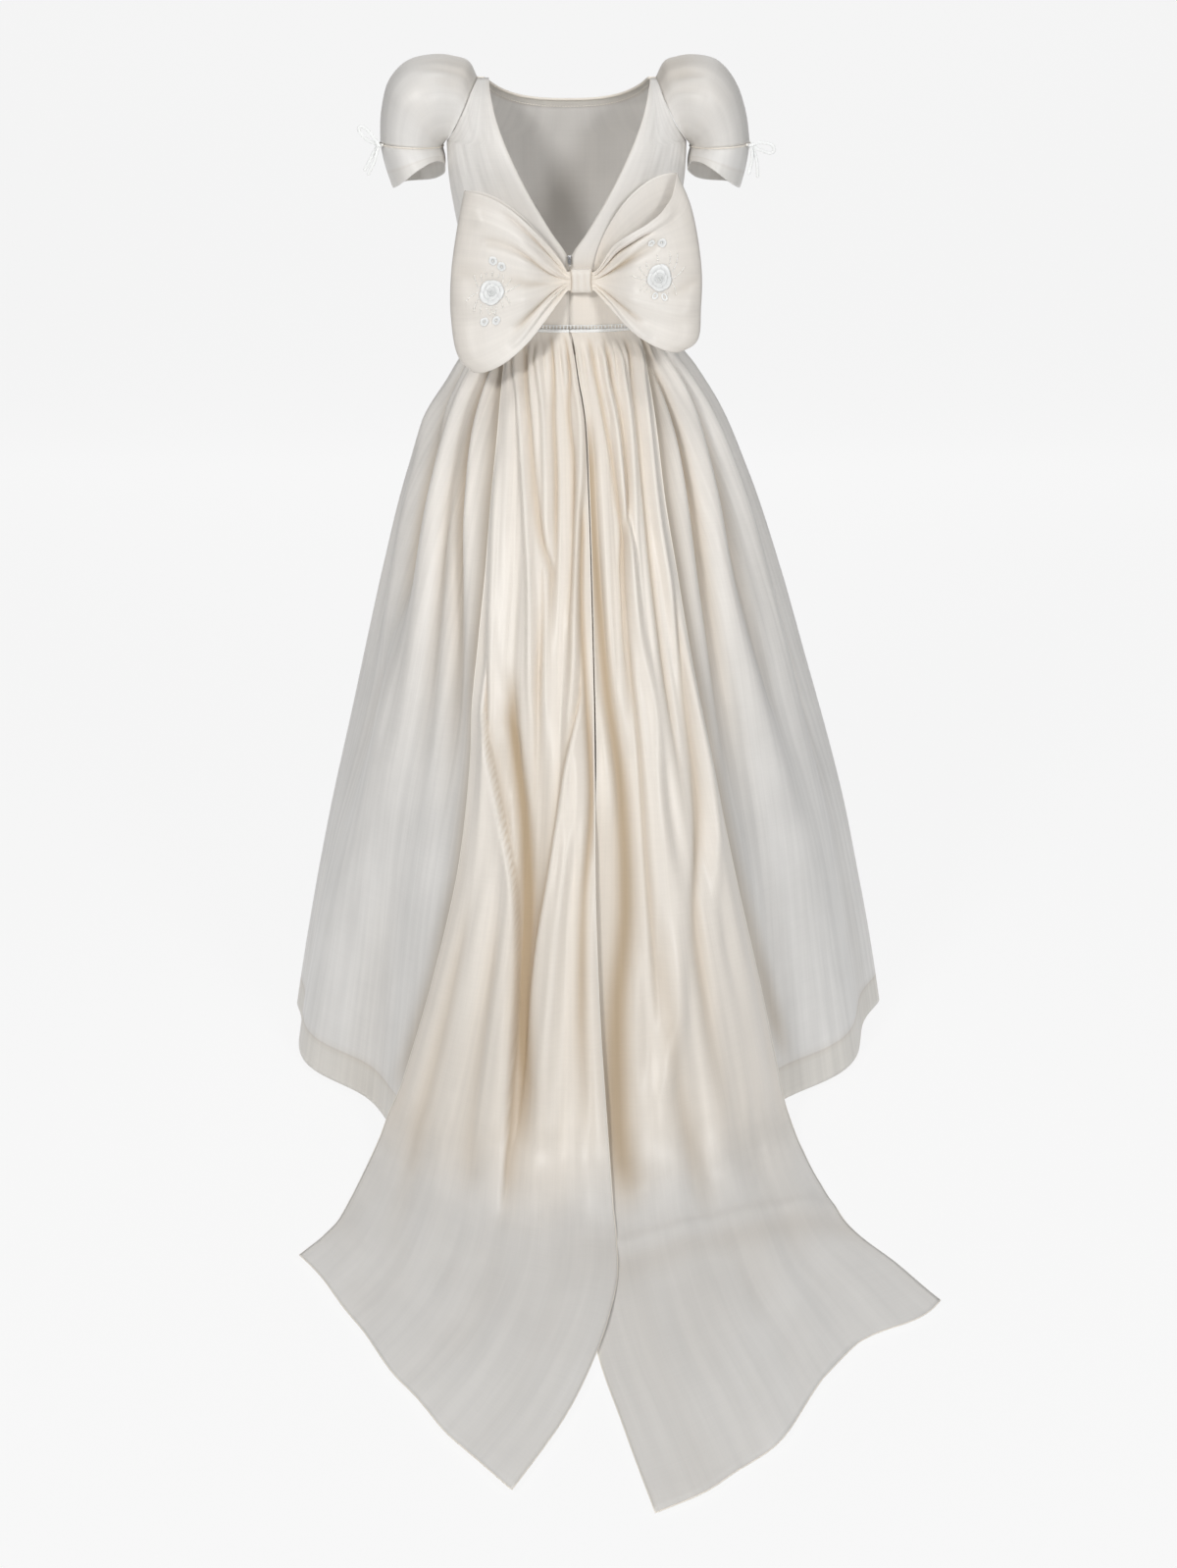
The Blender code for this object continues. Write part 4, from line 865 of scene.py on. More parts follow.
def bodice_point(angle, height, front):
    """A place on the bodice, from the angle off the centre of the back or of the front.

    x is the half width times sine to a power, y the depth times cosine to that power.
    """
    width = through(BODICE, 1, height)
    depth = through(BODICE, 3 if front else 2, height)
    sine, cosine = np.sin(angle), np.cos(angle)
    x = width * squared_off(sine, SIDE_SQUARENESS)
    y = depth * np.abs(cosine) ** SIDE_SQUARENESS + SEAM_GAP / 2
    return np.stack([x, y if front else -y, height + 0.0 * angle], axis=-1)


def armhole_angle(height):
    """Angle of the bodice's side edge: the side seam, then the armhole above the armpit."""
    rise = np.clip((height - ARMPIT_HEIGHT) / (SHOULDER_HEIGHT - ARMPIT_HEIGHT), 0.0, 1.0)
    return np.radians(90.0 - ARMHOLE_DEPTH * rise ** ARMHOLE_CURVE)


def bodice_angle(distance, height):
    """Angle at which the bodice lies a distance to the side of its centre."""
    share = np.clip(distance / through(BODICE, 1, height), 0.0, 1.0)
    return np.arcsin(share ** (1.0 / SIDE_SQUARENESS))


def outward(points, middle=(0.0, 0.0)):
    """Level directions away from an upright line, for moving a wall in or out."""
    away = points[..., :2] - np.asarray(middle)
    away = away / np.maximum(np.linalg.norm(away, axis=-1), 1e-6)[..., None]
    return np.concatenate([away, np.zeros(away.shape[:-1] + (1,))], axis=-1)


def back_panel(side, share, height):
    """A half of the back of the bodice, from the zip or the V (share 0) to its side.

    Its edge turns in over the last 6 mm, as a faced edge does, and it has slack folds
    that run from the waist up to the side.
    """
    shift = CENTRE_BACK_X * side * np.clip(1.0 - share * 2.0, 0.0, 1.0)
    inner = np.where(height < V_APEX_HEIGHT, SEAM_GAP / 2, through(V_EDGE, 1, height))
    inner = bodice_angle(inner, height)
    span = armhole_angle(height) - inner
    points = bodice_point(inner + span * share, height, front=False)
    points[..., 0] = side * (points[..., 0] + shift)
    from_edge = share * span * through(BODICE, 1, height)
    rolled = np.clip(1.0 - from_edge / 0.006, 0.0, 1.0) ** 2
    low = smoothstep((1.13 - height) / 0.06)
    slack = soft_noise(34.0 * share * span + 20.0 * height, 46.0 * height, 1.0 + side)
    slack = slack * np.clip(share * 4.0, 0.0, 1.0) * np.clip((1.0 - share) * 5.0, 0.0, 1.0)
    drape = 0.0016 * bell(share, 0.62 - 1.6 * (height - 1.16), 0.12)
    lift = 0.0007 * slack + drape * bounded(height, 1.05, 1.26, 0.08) - 0.0016 * rolled * (
        1.0 - 0.4 * low)
    return points + outward(points) * lift[..., None], rolled, lift


class DRESS_OT_bodice(Operator):
    """Makes the front and the two backs of the bodice, and the binding of its neck."""

    bl_idname = "dress.bodice"
    bl_label = "Bodice"

    def execute(self, context):
        look = context.scene.dress
        cloth_look = silk(look, "silk_bodice")
        height, share = grid(np.linspace(BODICE_HEM, SHOULDER_HEIGHT, 96),
                             np.linspace(0.0, 1.0, 66))
        for side, word in ((-1, "left"), (1, "right")):
            points, rolled, lift = back_panel(side, share, height)
            # Cream rises towards the waist as painted light, brightening the bodice where the
            # bow shades it. The third number is painted shade at the side seam and in the dips
            # of the slack folds and the turned-in edge.
            warm = 0.10 + 0.15 * bell(share, 0.0, 0.30) + 0.55 * smoothstep(
                (1.16 - height) / 0.10)
            seam = bell(share, 1.0, 0.03)
            tone = tones(share.shape, warm, 0.6 * rolled, 0.15 * seam - 60.0 * lift)
            piece = cloth("bodice_back_" + word + "_silk", points, cloth_look, (0, 0, 1.15),
                          (0.20, 0.32), tone, wall=look.wall)
            declare(piece, ["bodice_back_" + word])

        row, share = grid(np.linspace(0.0, 1.0, 96), np.linspace(-1.0, 1.0, 141))
        points, height = front_panel(row, share)
        darts = bell(np.abs(share), 0.42, 0.012) * smoothstep((1.17 - height) / 0.05)
        slack = 0.0008 * soft_noise(16.0 * share, 44.0 * height, 2.0)
        points = points + outward(points) * (slack - 0.0022 * darts)[..., None]
        faced = smoothstep((row - 0.972) / 0.004)
        # Painted shade along the darts and at both sides, and a darker line where the facing
        # ends.
        tone = tones(share.shape, 0.10, faced, 0.3 * darts + 0.2 * bell(
            np.abs(share), 1.0, 0.02) + 0.3 * bell(row, 0.970, 0.003))
        piece = cloth("bodice_front_silk", points, cloth_look, (0, 0, 1.15), (0.40, 0.31),
                      tone, wall=look.wall)
        declare(piece, ["bodice_front"])

        edge = points[-1]
        out = outward(edge) * 0.0006
        binding = swept(edge + out + (0.0, 0.0, 0.0004), NECK_BINDING_RADIUS, sides=10)
        piece = welded(placed("neck_binding", ring_mesh("neck_binding", [binding]),
                              silk_plain(look)))
        declare(piece, [])
        under = edge - (0.0, 0.0, NECK_STITCH["drop"]) - outward(edge) * 0.0004
        stitches = stitch_row(under, NECK_STITCH["spacing"], NECK_STITCH["length"],
                              NECK_STITCH["radius"])
        piece = welded(placed("neck_topstitch", ring_mesh("neck_topstitch", stitches),
                              silk_plain(look)))
        declare(piece, [])
        return {'FINISHED'}


def front_panel(row, share):
    """The front of the bodice, from the waist (row 0) up to a scooped neck (row 1)."""
    strap = bodice_angle(np.array(V_EDGE[-1, 1]), np.array(SHOULDER_HEIGHT))
    strap_share = strap / armhole_angle(SHOULDER_HEIGHT)
    rise = np.clip(np.abs(share) / strap_share, 0.0, 1.0) ** 2
    top = FRONT_NECK_HEIGHT + (SHOULDER_HEIGHT - FRONT_NECK_HEIGHT) * rise
    height = BODICE_HEM + (top - BODICE_HEM) * row
    return bodice_point(armhole_angle(height) * share, height, front=True), height


def stitch_row(path, spacing, length, radius):
    """Short straight stitches of thread along a path, a spacing apart."""
    starts = np.arange(spacing, run_along(path)[-1] - spacing, spacing)
    ends = [places_at(path, starts + off) for off in (0.0, length)]
    return [swept(np.stack([a, b]), radius, sides=5) for a, b in zip(*ends)]


def armhole_ring(side, angles):
    """Where a sleeve starts: the armhole's edge, just past the seam, on the outer side.

    The ring angle is 0 at the shoulder, a quarter turn at the back, half at the armpit.
    """
    back = np.sin(angles) >= 0
    share = (1.0 + np.cos(angles)) / 2.0
    height = ARMPIT_HEIGHT + (SHOULDER_HEIGHT - ARMPIT_HEIGHT) * share
    step = 1e-4
    ring = np.empty((len(angles), 3))
    for is_front, which in ((False, back), (True, ~back)):
        edge = armhole_angle(height[which])
        here = bodice_point(edge, height[which], is_front)
        over = bodice_point(edge - step, height[which], is_front) - here
        top = np.minimum(height[which], SHOULDER_HEIGHT - step)
        up = bodice_point(edge, top - step, is_front) - bodice_point(edge, top, is_front)
        normal = np.cross(over, up)
        normal /= np.linalg.norm(normal, axis=1)[:, None]
        normal *= np.sign(np.sum(normal * (here - (0.0, 0.0, 1.25)), axis=1))[:, None]
        ring[which] = here + normal * (WALL + SEAM_GAP)
    ring[:, 0] += SEAM_GAP
    ring[:, 0] *= side
    return ring


def tie_ring(side, angles, drop=0.0, spread=0.0):
    """The narrow end of a sleeve, where the tie goes round; angle 0 is the outer side."""
    x = TIE_RING_X[side] + (TIE_RING_HALF_X[side] + spread) * np.cos(angles)
    y = -(TIE_RING["half_y"] + spread) * np.sin(angles)
    z = TIE_RING["height"] + TIE_RING["lean"] * np.cos(angles) - drop
    return np.stack([side * x, y, z], axis=-1)


def sleeve_point(side, share, angles):
    """The puffed sleeve, from its armhole ring (share 0) to its tie ring (share 1).

    It is the straight way between the rings, plus the rise of the ridge line over its own
    straight way times how near the top the place is, plus a belly at back and front, less
    gathers that fan out from the head and slack folds.
    """
    start = armhole_ring(side, angles)
    end = tie_ring(side, angles, drop=-TIE_SEAM)
    share = np.asarray(share)[:, None]
    ridge = np.stack([through(SLEEVE_RIDGE, k, share) for k in (1, 2)], axis=-1)
    line = SLEEVE_RIDGE[0, 1:] * (1 - share[..., None]) + SLEEVE_RIDGE[-1, 1:] * share[..., None]
    rise = ridge - line
    near_top = (1.0 + np.cos(angles)) / 2.0
    points = start * (1 - share[..., None]) + end * share[..., None]
    points[..., 0] += side * rise[..., 0] * near_top * SLEEVE_PUFF[side]
    points[..., 2] += rise[..., 1] * near_top
    swell = np.clip(np.sin(math.pi * share), 0.0, 1.0) ** BELLY_POWER
    belly = SLEEVE_BELLY * swell * np.sin(angles) * near_top ** 0.5
    points[..., 1] -= belly
    head = np.sin(math.pi * np.clip(share / 0.50, 0.0, 1.0)) * near_top ** 1.5
    drift = angles + 0.10 * np.sin(3 * angles + side) + 0.35 * share * np.sin(angles)
    gather = 0.5 - 0.5 * np.cos(17 * drift) * (0.7 + 0.3 * np.cos(5 * drift + 1.0))
    slack = 0.5 + 0.5 * soft_noise(5.0 * np.sin(angles) + 3.0 * share, 6.0 * share
                                   + 2.0 * np.cos(angles), 3.0 + side)
    ripple = (0.0030 if side > 0 else 0.0020) * head * gather + 0.0030 * slack * np.sin(
        math.pi * share) * near_top
    points[..., 2] -= ripple * 0.8
    points[..., 1] += ripple * 0.6 * np.sin(angles)
    return points, ripple


def cuff_point(side, share, angles):
    """The flared frill under the tie, from the tie ring to its own hem."""
    start = tie_ring(side, angles, drop=TIE_SEAM)
    x = CUFF_HEM["x"] + CUFF_HEM["half_x"] * np.cos(angles)
    y = -CUFF_HEM["half_y"] * np.sin(angles)
    inner = (1.0 - np.cos(angles)) / 2.0
    z = CUFF_HEM["height"] + (CUFF_HEM["rise"] + CUFF_HEM["wedge"] * np.sin(angles)) * inner
    end = np.stack([side * x, y, z], axis=-1)
    share = np.asarray(share)[:, None, None]
    points = start * (1 - share) + end * share
    away = outward(points, (side * 0.2, 0.0))
    puff = 0.0016 * np.sin(math.pi * share[..., 0]) + 0.0009 * share[..., 0] * np.cos(
        7 * angles + side)
    return points + away * puff[..., None]


class DRESS_OT_sleeves(Operator):
    """Makes the puffed cap sleeves and their flared cuffs."""

    bl_idname = "dress.sleeves"
    bl_label = "Sleeves and cuffs"

    def execute(self, context):
        look = context.scene.dress
        cloth_look = silk(look, "silk_sleeve")
        angles = ring_angles(150)
        shares = np.linspace(0.0, 1.0, 62)
        for side, word in ((-1, "left"), (1, "right")):
            points, ripple = sleeve_point(side, shares, angles)
            armhole_shade = bell(shares, 0.0, 0.30)[:, None] * np.clip(
                np.cos(angles), 0.0, 1.0) * np.clip(np.sin(angles) + 0.4, 0.0, 1.0)
            mottled = soft_noise(4.0 * np.sin(angles)[None, :], 9.0 * shares[:, None],
                                 6.0 + side)
            # Painted shade: a little all over, more on the right sleeve, round the armhole seam
            # and in the gathers, with soft random patches.
            tone = tones(ripple.shape, 0.0, 0.0, 0.08 + 0.04 * side + 0.35 * armhole_shade
                         + 45.0 * ripple + 0.06 * np.clip(mottled, 0.0, 1.0))
            piece = cloth("sleeve_" + word + "_silk", points, cloth_look,
                          (side * 0.19, 0.0, 1.28), (0.38, 0.14), tone, closed=True,
                          wall=look.wall, outward=-1.0)
            declare(piece, ["sleeve_" + word])
            downs = np.linspace(0.0, 1.0, 26)
            points = cuff_point(side, downs, angles)
            turned = smoothstep((downs - 0.62) / 0.04)[:, None] + 0.0 * angles
            line = bell(downs, 0.62, 0.02)[:, None] + 0.0 * angles
            tone = tones(turned.shape, 0.05, 0.35 * turned, 0.3 * line)
            piece = cloth("cuff_" + word + "_silk", points, cloth_look,
                          (side * 0.2, 0.0, 1.23), (0.36, 0.05), tone, closed=True,
                          wall=look.wall, outward=-1.0)
            declare(piece, ["cuff_" + word])
        return {'FINISHED'}


class DRESS_OT_ties(Operator):
    """Makes the rouleau ties of the sleeves, with their small bows and pearls."""

    bl_idname = "dress.ties"
    bl_label = "Sleeve ties"

    def execute(self, context):
        look = context.scene.dress
        ribbon = white_rouleau(look)
        cream = silk_plain(look)
        pearl = seed_pearl(look)
        angles = ring_angles(120)
        for side, word in ((-1, "left"), (1, "right")):
            ring = tie_ring(side, angles, spread=0.0006)
            rings = swept(ring, TIE_CORD_RADIUS, sides=8, closed=True)
            piece = placed("tie_band_" + word + "_cord",
                           ring_mesh("tie_band", [rings], closed=True), cream)
            declare(piece, ["tie_band_" + word])
            ring = tie_ring(side, np.array([TIE_BOW_ANGLE]), spread=2 * TIE_RADIUS
                            + 2 * SEAM_GAP)[0]
            knot = ring + TIE_KNOT_RADIUS * np.array([
                side * math.cos(TIE_BOW_ANGLE), -math.sin(TIE_BOW_ANGLE), 0.0])
            strands = []
            for number, route in enumerate([TIE_LOOP[side]] + list(TIE_ENDS[side])):
                deep = (0.0, -0.0020, 0.0024)[number]
                route = smooth_path(route, 44)
                spread = np.linspace(-0.0018, 0.0018, len(route)) if number == 0 else 0.0
                path = np.stack([knot[0] + side * route[:, 0],
                                 knot[1] + deep * np.minimum(1.0, np.abs(route[:, 0]) / 0.004)
                                 + spread, knot[2] + route[:, 1]], axis=-1)
                strands.append(swept(path, sides=10, up=(0.0, 1.0, 0.0), **TIE_TAPE))
            turn = ring_angles(28)
            wrap = knot + np.stack([0.0032 * np.cos(turn), 0.0022 * np.sin(turn),
                                    0.0006 * np.sin(turn)], axis=-1)
            strands.append(swept(np.concatenate([wrap, wrap[:1]]), 0.0016, sides=8))
            piece = welded(placed("tie_bow_" + word + "_satin",
                                  ring_mesh("tie_bow", strands), ribbon))
            declare(piece, ["tie_bow_" + word])
            spot = knot + np.array([-side * 0.0050, -0.0042, 0.0010])
            piece = placed("tie_pearl_" + word, beads_mesh(spot[None, :], TIE_PEARL), pearl)
            declare(piece, [])
        return {'FINISHED'}


def beads_mesh(places, diameter):
    """Round beads at an array of places, each a turned ball of five bands of eight faces."""
    places = np.asarray(places, dtype=float)
    down, turn = grid(np.linspace(0.0, math.pi, 6), ring_angles(8))
    ball = np.stack([np.sin(down) * np.cos(turn), np.sin(down) * np.sin(turn),
                     np.cos(down)], axis=-1).reshape(-1, 3)
    size = np.broadcast_to(np.asarray(diameter, dtype=float) / 2, (len(places),))
    points = (places[:, None, :] + ball[None] * size[:, None, None]).reshape(-1, 3)
    points[:, 2] -= SHOULDER_HEIGHT
    faces = grid_faces(6, 8, True)[0][:, ::-1]
    every = (faces[None] + (np.arange(len(places)) * len(ball))[:, None, None]).reshape(-1, 4)
    return mesh_from("beads", points, every)


def gather_angle(angle):
    """Angle with a drift that makes the gathers uneven."""
    even = np.sin(4 * angle) * 0.6 + np.sin(6 * angle) * 0.4
    return angle + GATHER_DRIFT * (even + 0.7 * np.sin(2 * angle) ** 2)


def hem_swing(angle, height):
    """The slow swings of the hem, which die out towards the waist."""
    degrees = half_turns(np.degrees(angle))
    return through(HEM_SWINGS, 1, degrees) * smoothstep((SWING_START - height) / SWING_START)


def skirt_crest(height):
    """The furthest that the folds stand off the mean section at a height."""
    return 0.5 * sum(through(SKIRT, column, height) for column in (5, 6, 7))


def skirt_relief(angle, height):
    """How far the cloth stands off the mean section: uneven gathers at the waist that
    double up into soft folds, the creases of the table, and waves at the hem.

    A crease is a bell curve over the angle, whose middle moves with the height, and it
    fades at both its ends.
    """
    drift = gather_angle(angle)
    close = through(SKIRT, 5, height)
    uneven = 0.80 + 0.35 * np.sin(5 * angle + 0.7) * np.cos(3 * angle)
    fine = np.cos(2 * GATHERS_ROUND * drift + 1.3 * np.sin(7 * angle)) * bell(
        height, 1.006, 0.022)
    total = 0.5 * close * uneven * np.cos(GATHERS_ROUND * drift) + 0.0011 * fine
    total = total + 0.17 * through(SKIRT, 6, height) * np.cos(FOLDS_ROUND * drift)
    total = total + 0.5 * through(SKIRT, 7, height) * np.cos(WAVES_ROUND * drift)
    degrees = np.degrees(angle) % 360.0
    levels = np.array([0.10, 0.45, 0.70, 0.95])
    for row in SKIRT_CREASES:
        middle = through(np.column_stack([levels, row[3::-1]]), 1, height)
        off = half_turns(degrees - middle)
        width = row[4] * (1.0 + 0.9 * smoothstep((0.75 - height) / 0.6))
        total = total + row[5] * bell(off, 0.0, width) * smoothstep(
            (height - row[7]) / 0.32) * smoothstep((row[6] + 0.028 - height) / 0.06)
    total = total + 0.0016 * soft_noise(9.0 * angle, 7.0 * height, 0.4) * bounded(
        height, 0.0, 0.95, 0.2)
    total = total + 0.0007 * soft_noise(58.0 * angle, 3.5 * height, 1.3) * bounded(
        height, 0.05, 0.99, 0.3)
    return total + hem_swing(angle, height)


def skirt_point(angle, height, lift):
    """A place on the skirt: a section that is an ellipse at the waist and drawn out to
    the back at the hem, moved out along the ellipse's normal by lift.

    The angle is 0 at the centre back, and grows to the right.
    """
    width = through(SKIRT, 1, height)
    back = np.cos(angle) > 0
    depth = np.where(back, through(SKIRT, 2, height), through(SKIRT, 3, height))
    power = 1.0 + HEM_POINTEDNESS * smoothstep((SKIRT_TOP - height) / SKIRT_TOP)
    reach = np.where(back, np.abs(np.cos(angle)) ** power, np.abs(np.cos(angle)))
    x = through(SKIRT, 4, height) + width * np.sin(angle)
    y = np.where(back, -depth * reach, depth * reach)
    over = np.stack([np.sin(angle) / width, -np.cos(angle) / depth])
    over = over / np.linalg.norm(over, axis=0)
    return np.stack([x + over[0] * lift, y + over[1] * lift, height + 0.0 * x], axis=-1)


class DRESS_OT_skirt(Operator):
    """Makes the three panels of the gathered skirt, with a turned-up hem."""

    bl_idname = "dress.skirt"
    bl_label = "Skirt"

    def execute(self, context):
        look = context.scene.dress
        cloth_look = silk(look, "silk_skirt")
        quarter = math.pi / 2
        levels = np.concatenate([np.array([0.0, 0.006, 0.020, 0.034, 0.040, 0.0425, 0.045])
                                 + SKIRT_HEM, np.linspace(0.060, SKIRT_TOP, 112)])
        panels = (("skirt_back_left", -quarter, 0.0, 146, 0.62),
                  ("skirt_back_right", 0.0, quarter, 146, 0.62),
                  ("skirt_front", quarter, 3 * quarter, 290, 1.24))
        for name, first, last, columns, cut in panels:
            height, angle = grid(levels, np.linspace(first, last, columns))
            lift = skirt_relief(angle, height)
            points = skirt_point(angle, height, lift)
            mean = hem_swing(angle, height)
            band = (height < 0.0475) * 1.0
            stitch = bell(height, 0.0485, 0.0022)
            middle = bell(half_turns(np.degrees(angle)), 0.0, 52.0)
            warm = 0.02 + (0.15 + 0.80 * middle) * smoothstep((height - 0.30) / 0.6)
            # Painted shade in the troughs of the folds, deeper higher up, and a painted shadow
            # on the skirt beside each tail's outer edge; the hem's stitch line is darker too.
            fold = 0.35 * stitch + np.clip((mean - lift) / 0.014, 0.0, 1.0) * (
                0.12 + 0.55 * smoothstep((height - 0.35) / 0.5))
            if name != "skirt_front":
                tail = LEFT_TAIL if name == "skirt_back_left" else RIGHT_TAIL
                rim = np.interp(height, tail[::-1, 0], tail[::-1, 2])
                tail_shadow = bell(points[..., 0], rim, 0.014)
                fold = np.maximum(fold, 0.55 * tail_shadow * smoothstep((height - 0.02) / 0.1))
            tone = tones(height.shape, warm, band, fold)
            piece = cloth(name + "_silk", points, cloth_look, (0.02, -0.03, 0.6),
                          (cut * 1.25, 1.06), tone, wall=look.wall)
            declare(piece, [name])
        return {'FINISHED'}


class DRESS_OT_waist(Operator):
    """Makes the twisted cord of the waist seam and the row of ladder stitches over it."""

    bl_idname = "dress.waist"
    bl_label = "Waist cord"

    def execute(self, context):
        look = context.scene.dress
        white = white_rouleau(look)
        angles = np.linspace(0.014, 2 * math.pi - 0.014, 460)
        ring = skirt_point(angles, np.full(angles.shape, SKIRT_TOP), WAIST_CORD["lift"])
        ring[:, 0] -= through(SKIRT, 4, SKIRT_TOP) - CENTRE_BACK_X
        ring[:, 2] = PIPING_HEIGHT - WAIST_CORD["drop"]
        rings = [swept(ring, WAIST_CORD["radius"], sides=8, twist=WAIST_CORD["twist"])]
        turns = np.linspace(-1.48, 1.48, 220)
        low = np.full(turns.shape, PIPING_HEIGHT + LADDER["above"])
        halves = [bodice_point(turns, low, front) for front in (False, True)]
        halves = [half + outward(half) * LADDER["off"] for half in halves]
        rise = np.array([0.0, 0.0, LADDER["height"]])
        rings += [swept(half + rise, LADDER["line_radius"], sides=6) for half in halves]
        piece = welded(placed("waist_cord", ring_mesh("waist_cord", rings), white))
        declare(piece, ["waist_piping"])
        bars = []
        for half in halves:
            spots = np.arange(LADDER["margin"], run_along(half)[-1] - LADDER["margin"],
                              LADDER["spacing"])
            bars += [swept(np.stack([foot, foot + rise]), LADDER["radius"], sides=5,
                           up=(0.3, 1.0, 0.0)) for foot in places_at(half, spots)]
        piece = welded(placed("waist_ladder_stitch", ring_mesh("waist_ladder", bars), white))
        declare(piece, [])
        return {'FINISHED'}


def tail_creases(side, share, row):
    """The listed creases of a tail, as a height and a painted shade at each point.

    A ridge or trough is a bell curve across its middle line. A folded edge rises steeply
    on its line and dies away slowly on its raised side, and a painted shadow lies along its
    low side. Each crease also adds its own painted shade, as much as the table gives.
    """
    total, shade = np.zeros(share.shape), np.zeros(share.shape)
    for kind, width, depth, dark, rows, shares in TAIL_CREASES[side]:
        line = through(np.column_stack([rows, shares]), 1, row)
        span = smoothstep((row - rows[0] + 0.7) / 0.9)
        span = span * smoothstep((rows[-1] + 1.5 - row) / 2.0)
        if kind == 0:
            form = bell(share, line, width)
        else:
            off = (line - share) * kind
            form = smoothstep(off / 0.028 + 0.5) * np.exp(-np.maximum(off, 0.0) / width)
            under = smoothstep(0.5 - off / 0.010) * np.exp(np.minimum(off, 0.0) / 0.045)
            shade = np.maximum(shade, 0.8 * under * span)
        total = total + depth * form * span
        shade = np.maximum(shade, dark * form * span)
    return total, shade


def tail_point(table, side, share, row):
    """A place on a tail, from its inner edge (share 0) to its outer edge (share 1), and
    the height and the painted shade of its relief.

    The tail lies on the crests of the skirt, moved out by its own pleats and creases, and
    each row of its table says how far behind the skirt it is, once it has left it for the
    floor.
    """
    rows = np.arange(len(table), dtype=float)
    indexed = np.column_stack([rows, table])
    height, inner, outer = (through(indexed, k, row) for k in (1, 2, 3))
    behind = through(indexed, 4, row) * (1 - share) + through(indexed, 5, row) * share
    x = inner + (outer - inner) * share
    on_skirt = np.clip(height, SKIRT_HEM, SKIRT_TOP)
    close = smoothstep((SKIRT_TOP - height) / 0.03)
    lift = skirt_crest(on_skirt) + WALL + REST_GAP + TAIL_CLEARANCE * close
    sine = (x - through(SKIRT, 4, on_skirt)) / (through(SKIRT, 1, on_skirt) + lift)
    angle = np.arcsin(np.clip(sine, -0.98, 0.98))
    lift = lift + hem_swing(angle, on_skirt)
    wander = share ** (1.0 + 0.15 * side) + 0.022 * np.sin(0.9 * row + 4.0 * share + side)
    pleat = 0.5 - 0.5 * np.cos(2 * math.pi * TAIL_PLEATS * wander)
    narrow = 0.5 - 0.5 * np.cos(2 * math.pi * 9 * (share + 0.02 * np.sin(9 * share)))
    under = 0.0
    if side > 0:
        under = smoothstep((0.5 - height) / 0.1) * (1 - smoothstep((share - 0.15) / 0.12))
    stand = through(indexed, 7, row) * (1 - smoothstep(share / 0.45))
    pleats = through(indexed, 6, row)
    even = pleats * (0.36 + 0.30 * smoothstep((row - 7.0) / 3.0)) * pleat
    even = even + 0.0042 * narrow * bell(height, 0.995, 0.030) * close
    creased, shade = tail_creases(side, share, row)
    creased = creased * smoothstep((row - 0.4) / 1.2)
    creased = creased + 0.0012 * soft_noise(17.0 * share, 2.1 * row, side) * close
    creased = creased + 0.0004 * soft_noise(52.0 * share, 0.5 * row, 7.0 * side) * close
    free = (even + creased + 0.35 * pleats) * (1 - under)
    relief = 0.5 * (free + np.sqrt(free * free + 0.0018 ** 2)) * close + stand
    flat = smoothstep((0.10 - height) / 0.08)
    points = skirt_point(angle, on_skirt, lift + relief * (1 - flat))
    edges = [skirt_point(np.arcsin(np.clip((edge - through(SKIRT, 4, on_skirt)) / (
        through(SKIRT, 1, on_skirt) + lift), -0.98, 0.98)), on_skirt, lift)[..., 1]
        for edge in (inner, outer)]
    straight = edges[0] * (1 - share) + edges[1] * share
    away = TAIL_END_STRAIGHTNESS * smoothstep((behind - 0.05) / 0.25)
    points[..., 1] += (straight - points[..., 1]) * away - behind
    last = smoothstep((row - 15.2) / 1.8)
    points[..., 1] += 0.0040 * last * np.sin(23.0 * share + 1.5 * side) * np.sin(
        math.pi * share)
    laid = relief * (0.55 + 0.45 * smoothstep((13.0 - row) / 2.0))
    uneven = 1.0 + soft_noise(13.0 * share, 3.1 * row, 4.0 + side)
    laid = laid + 0.0012 * uneven * smoothstep((row - 12.0) / 1.5)
    if side > 0:
        meets = through(FLOOR_RIDGE, 1, share)
        laid = laid + 0.0030 * bell(row, meets, 0.20)
        # Painted shade in a band just below the floor ridge.
        shade = np.maximum(shade, 0.45 * bell(row, meets + 0.5, 0.35))
    points[..., 2] = height + (laid + TAIL_BED) * flat
    return points, relief, shade


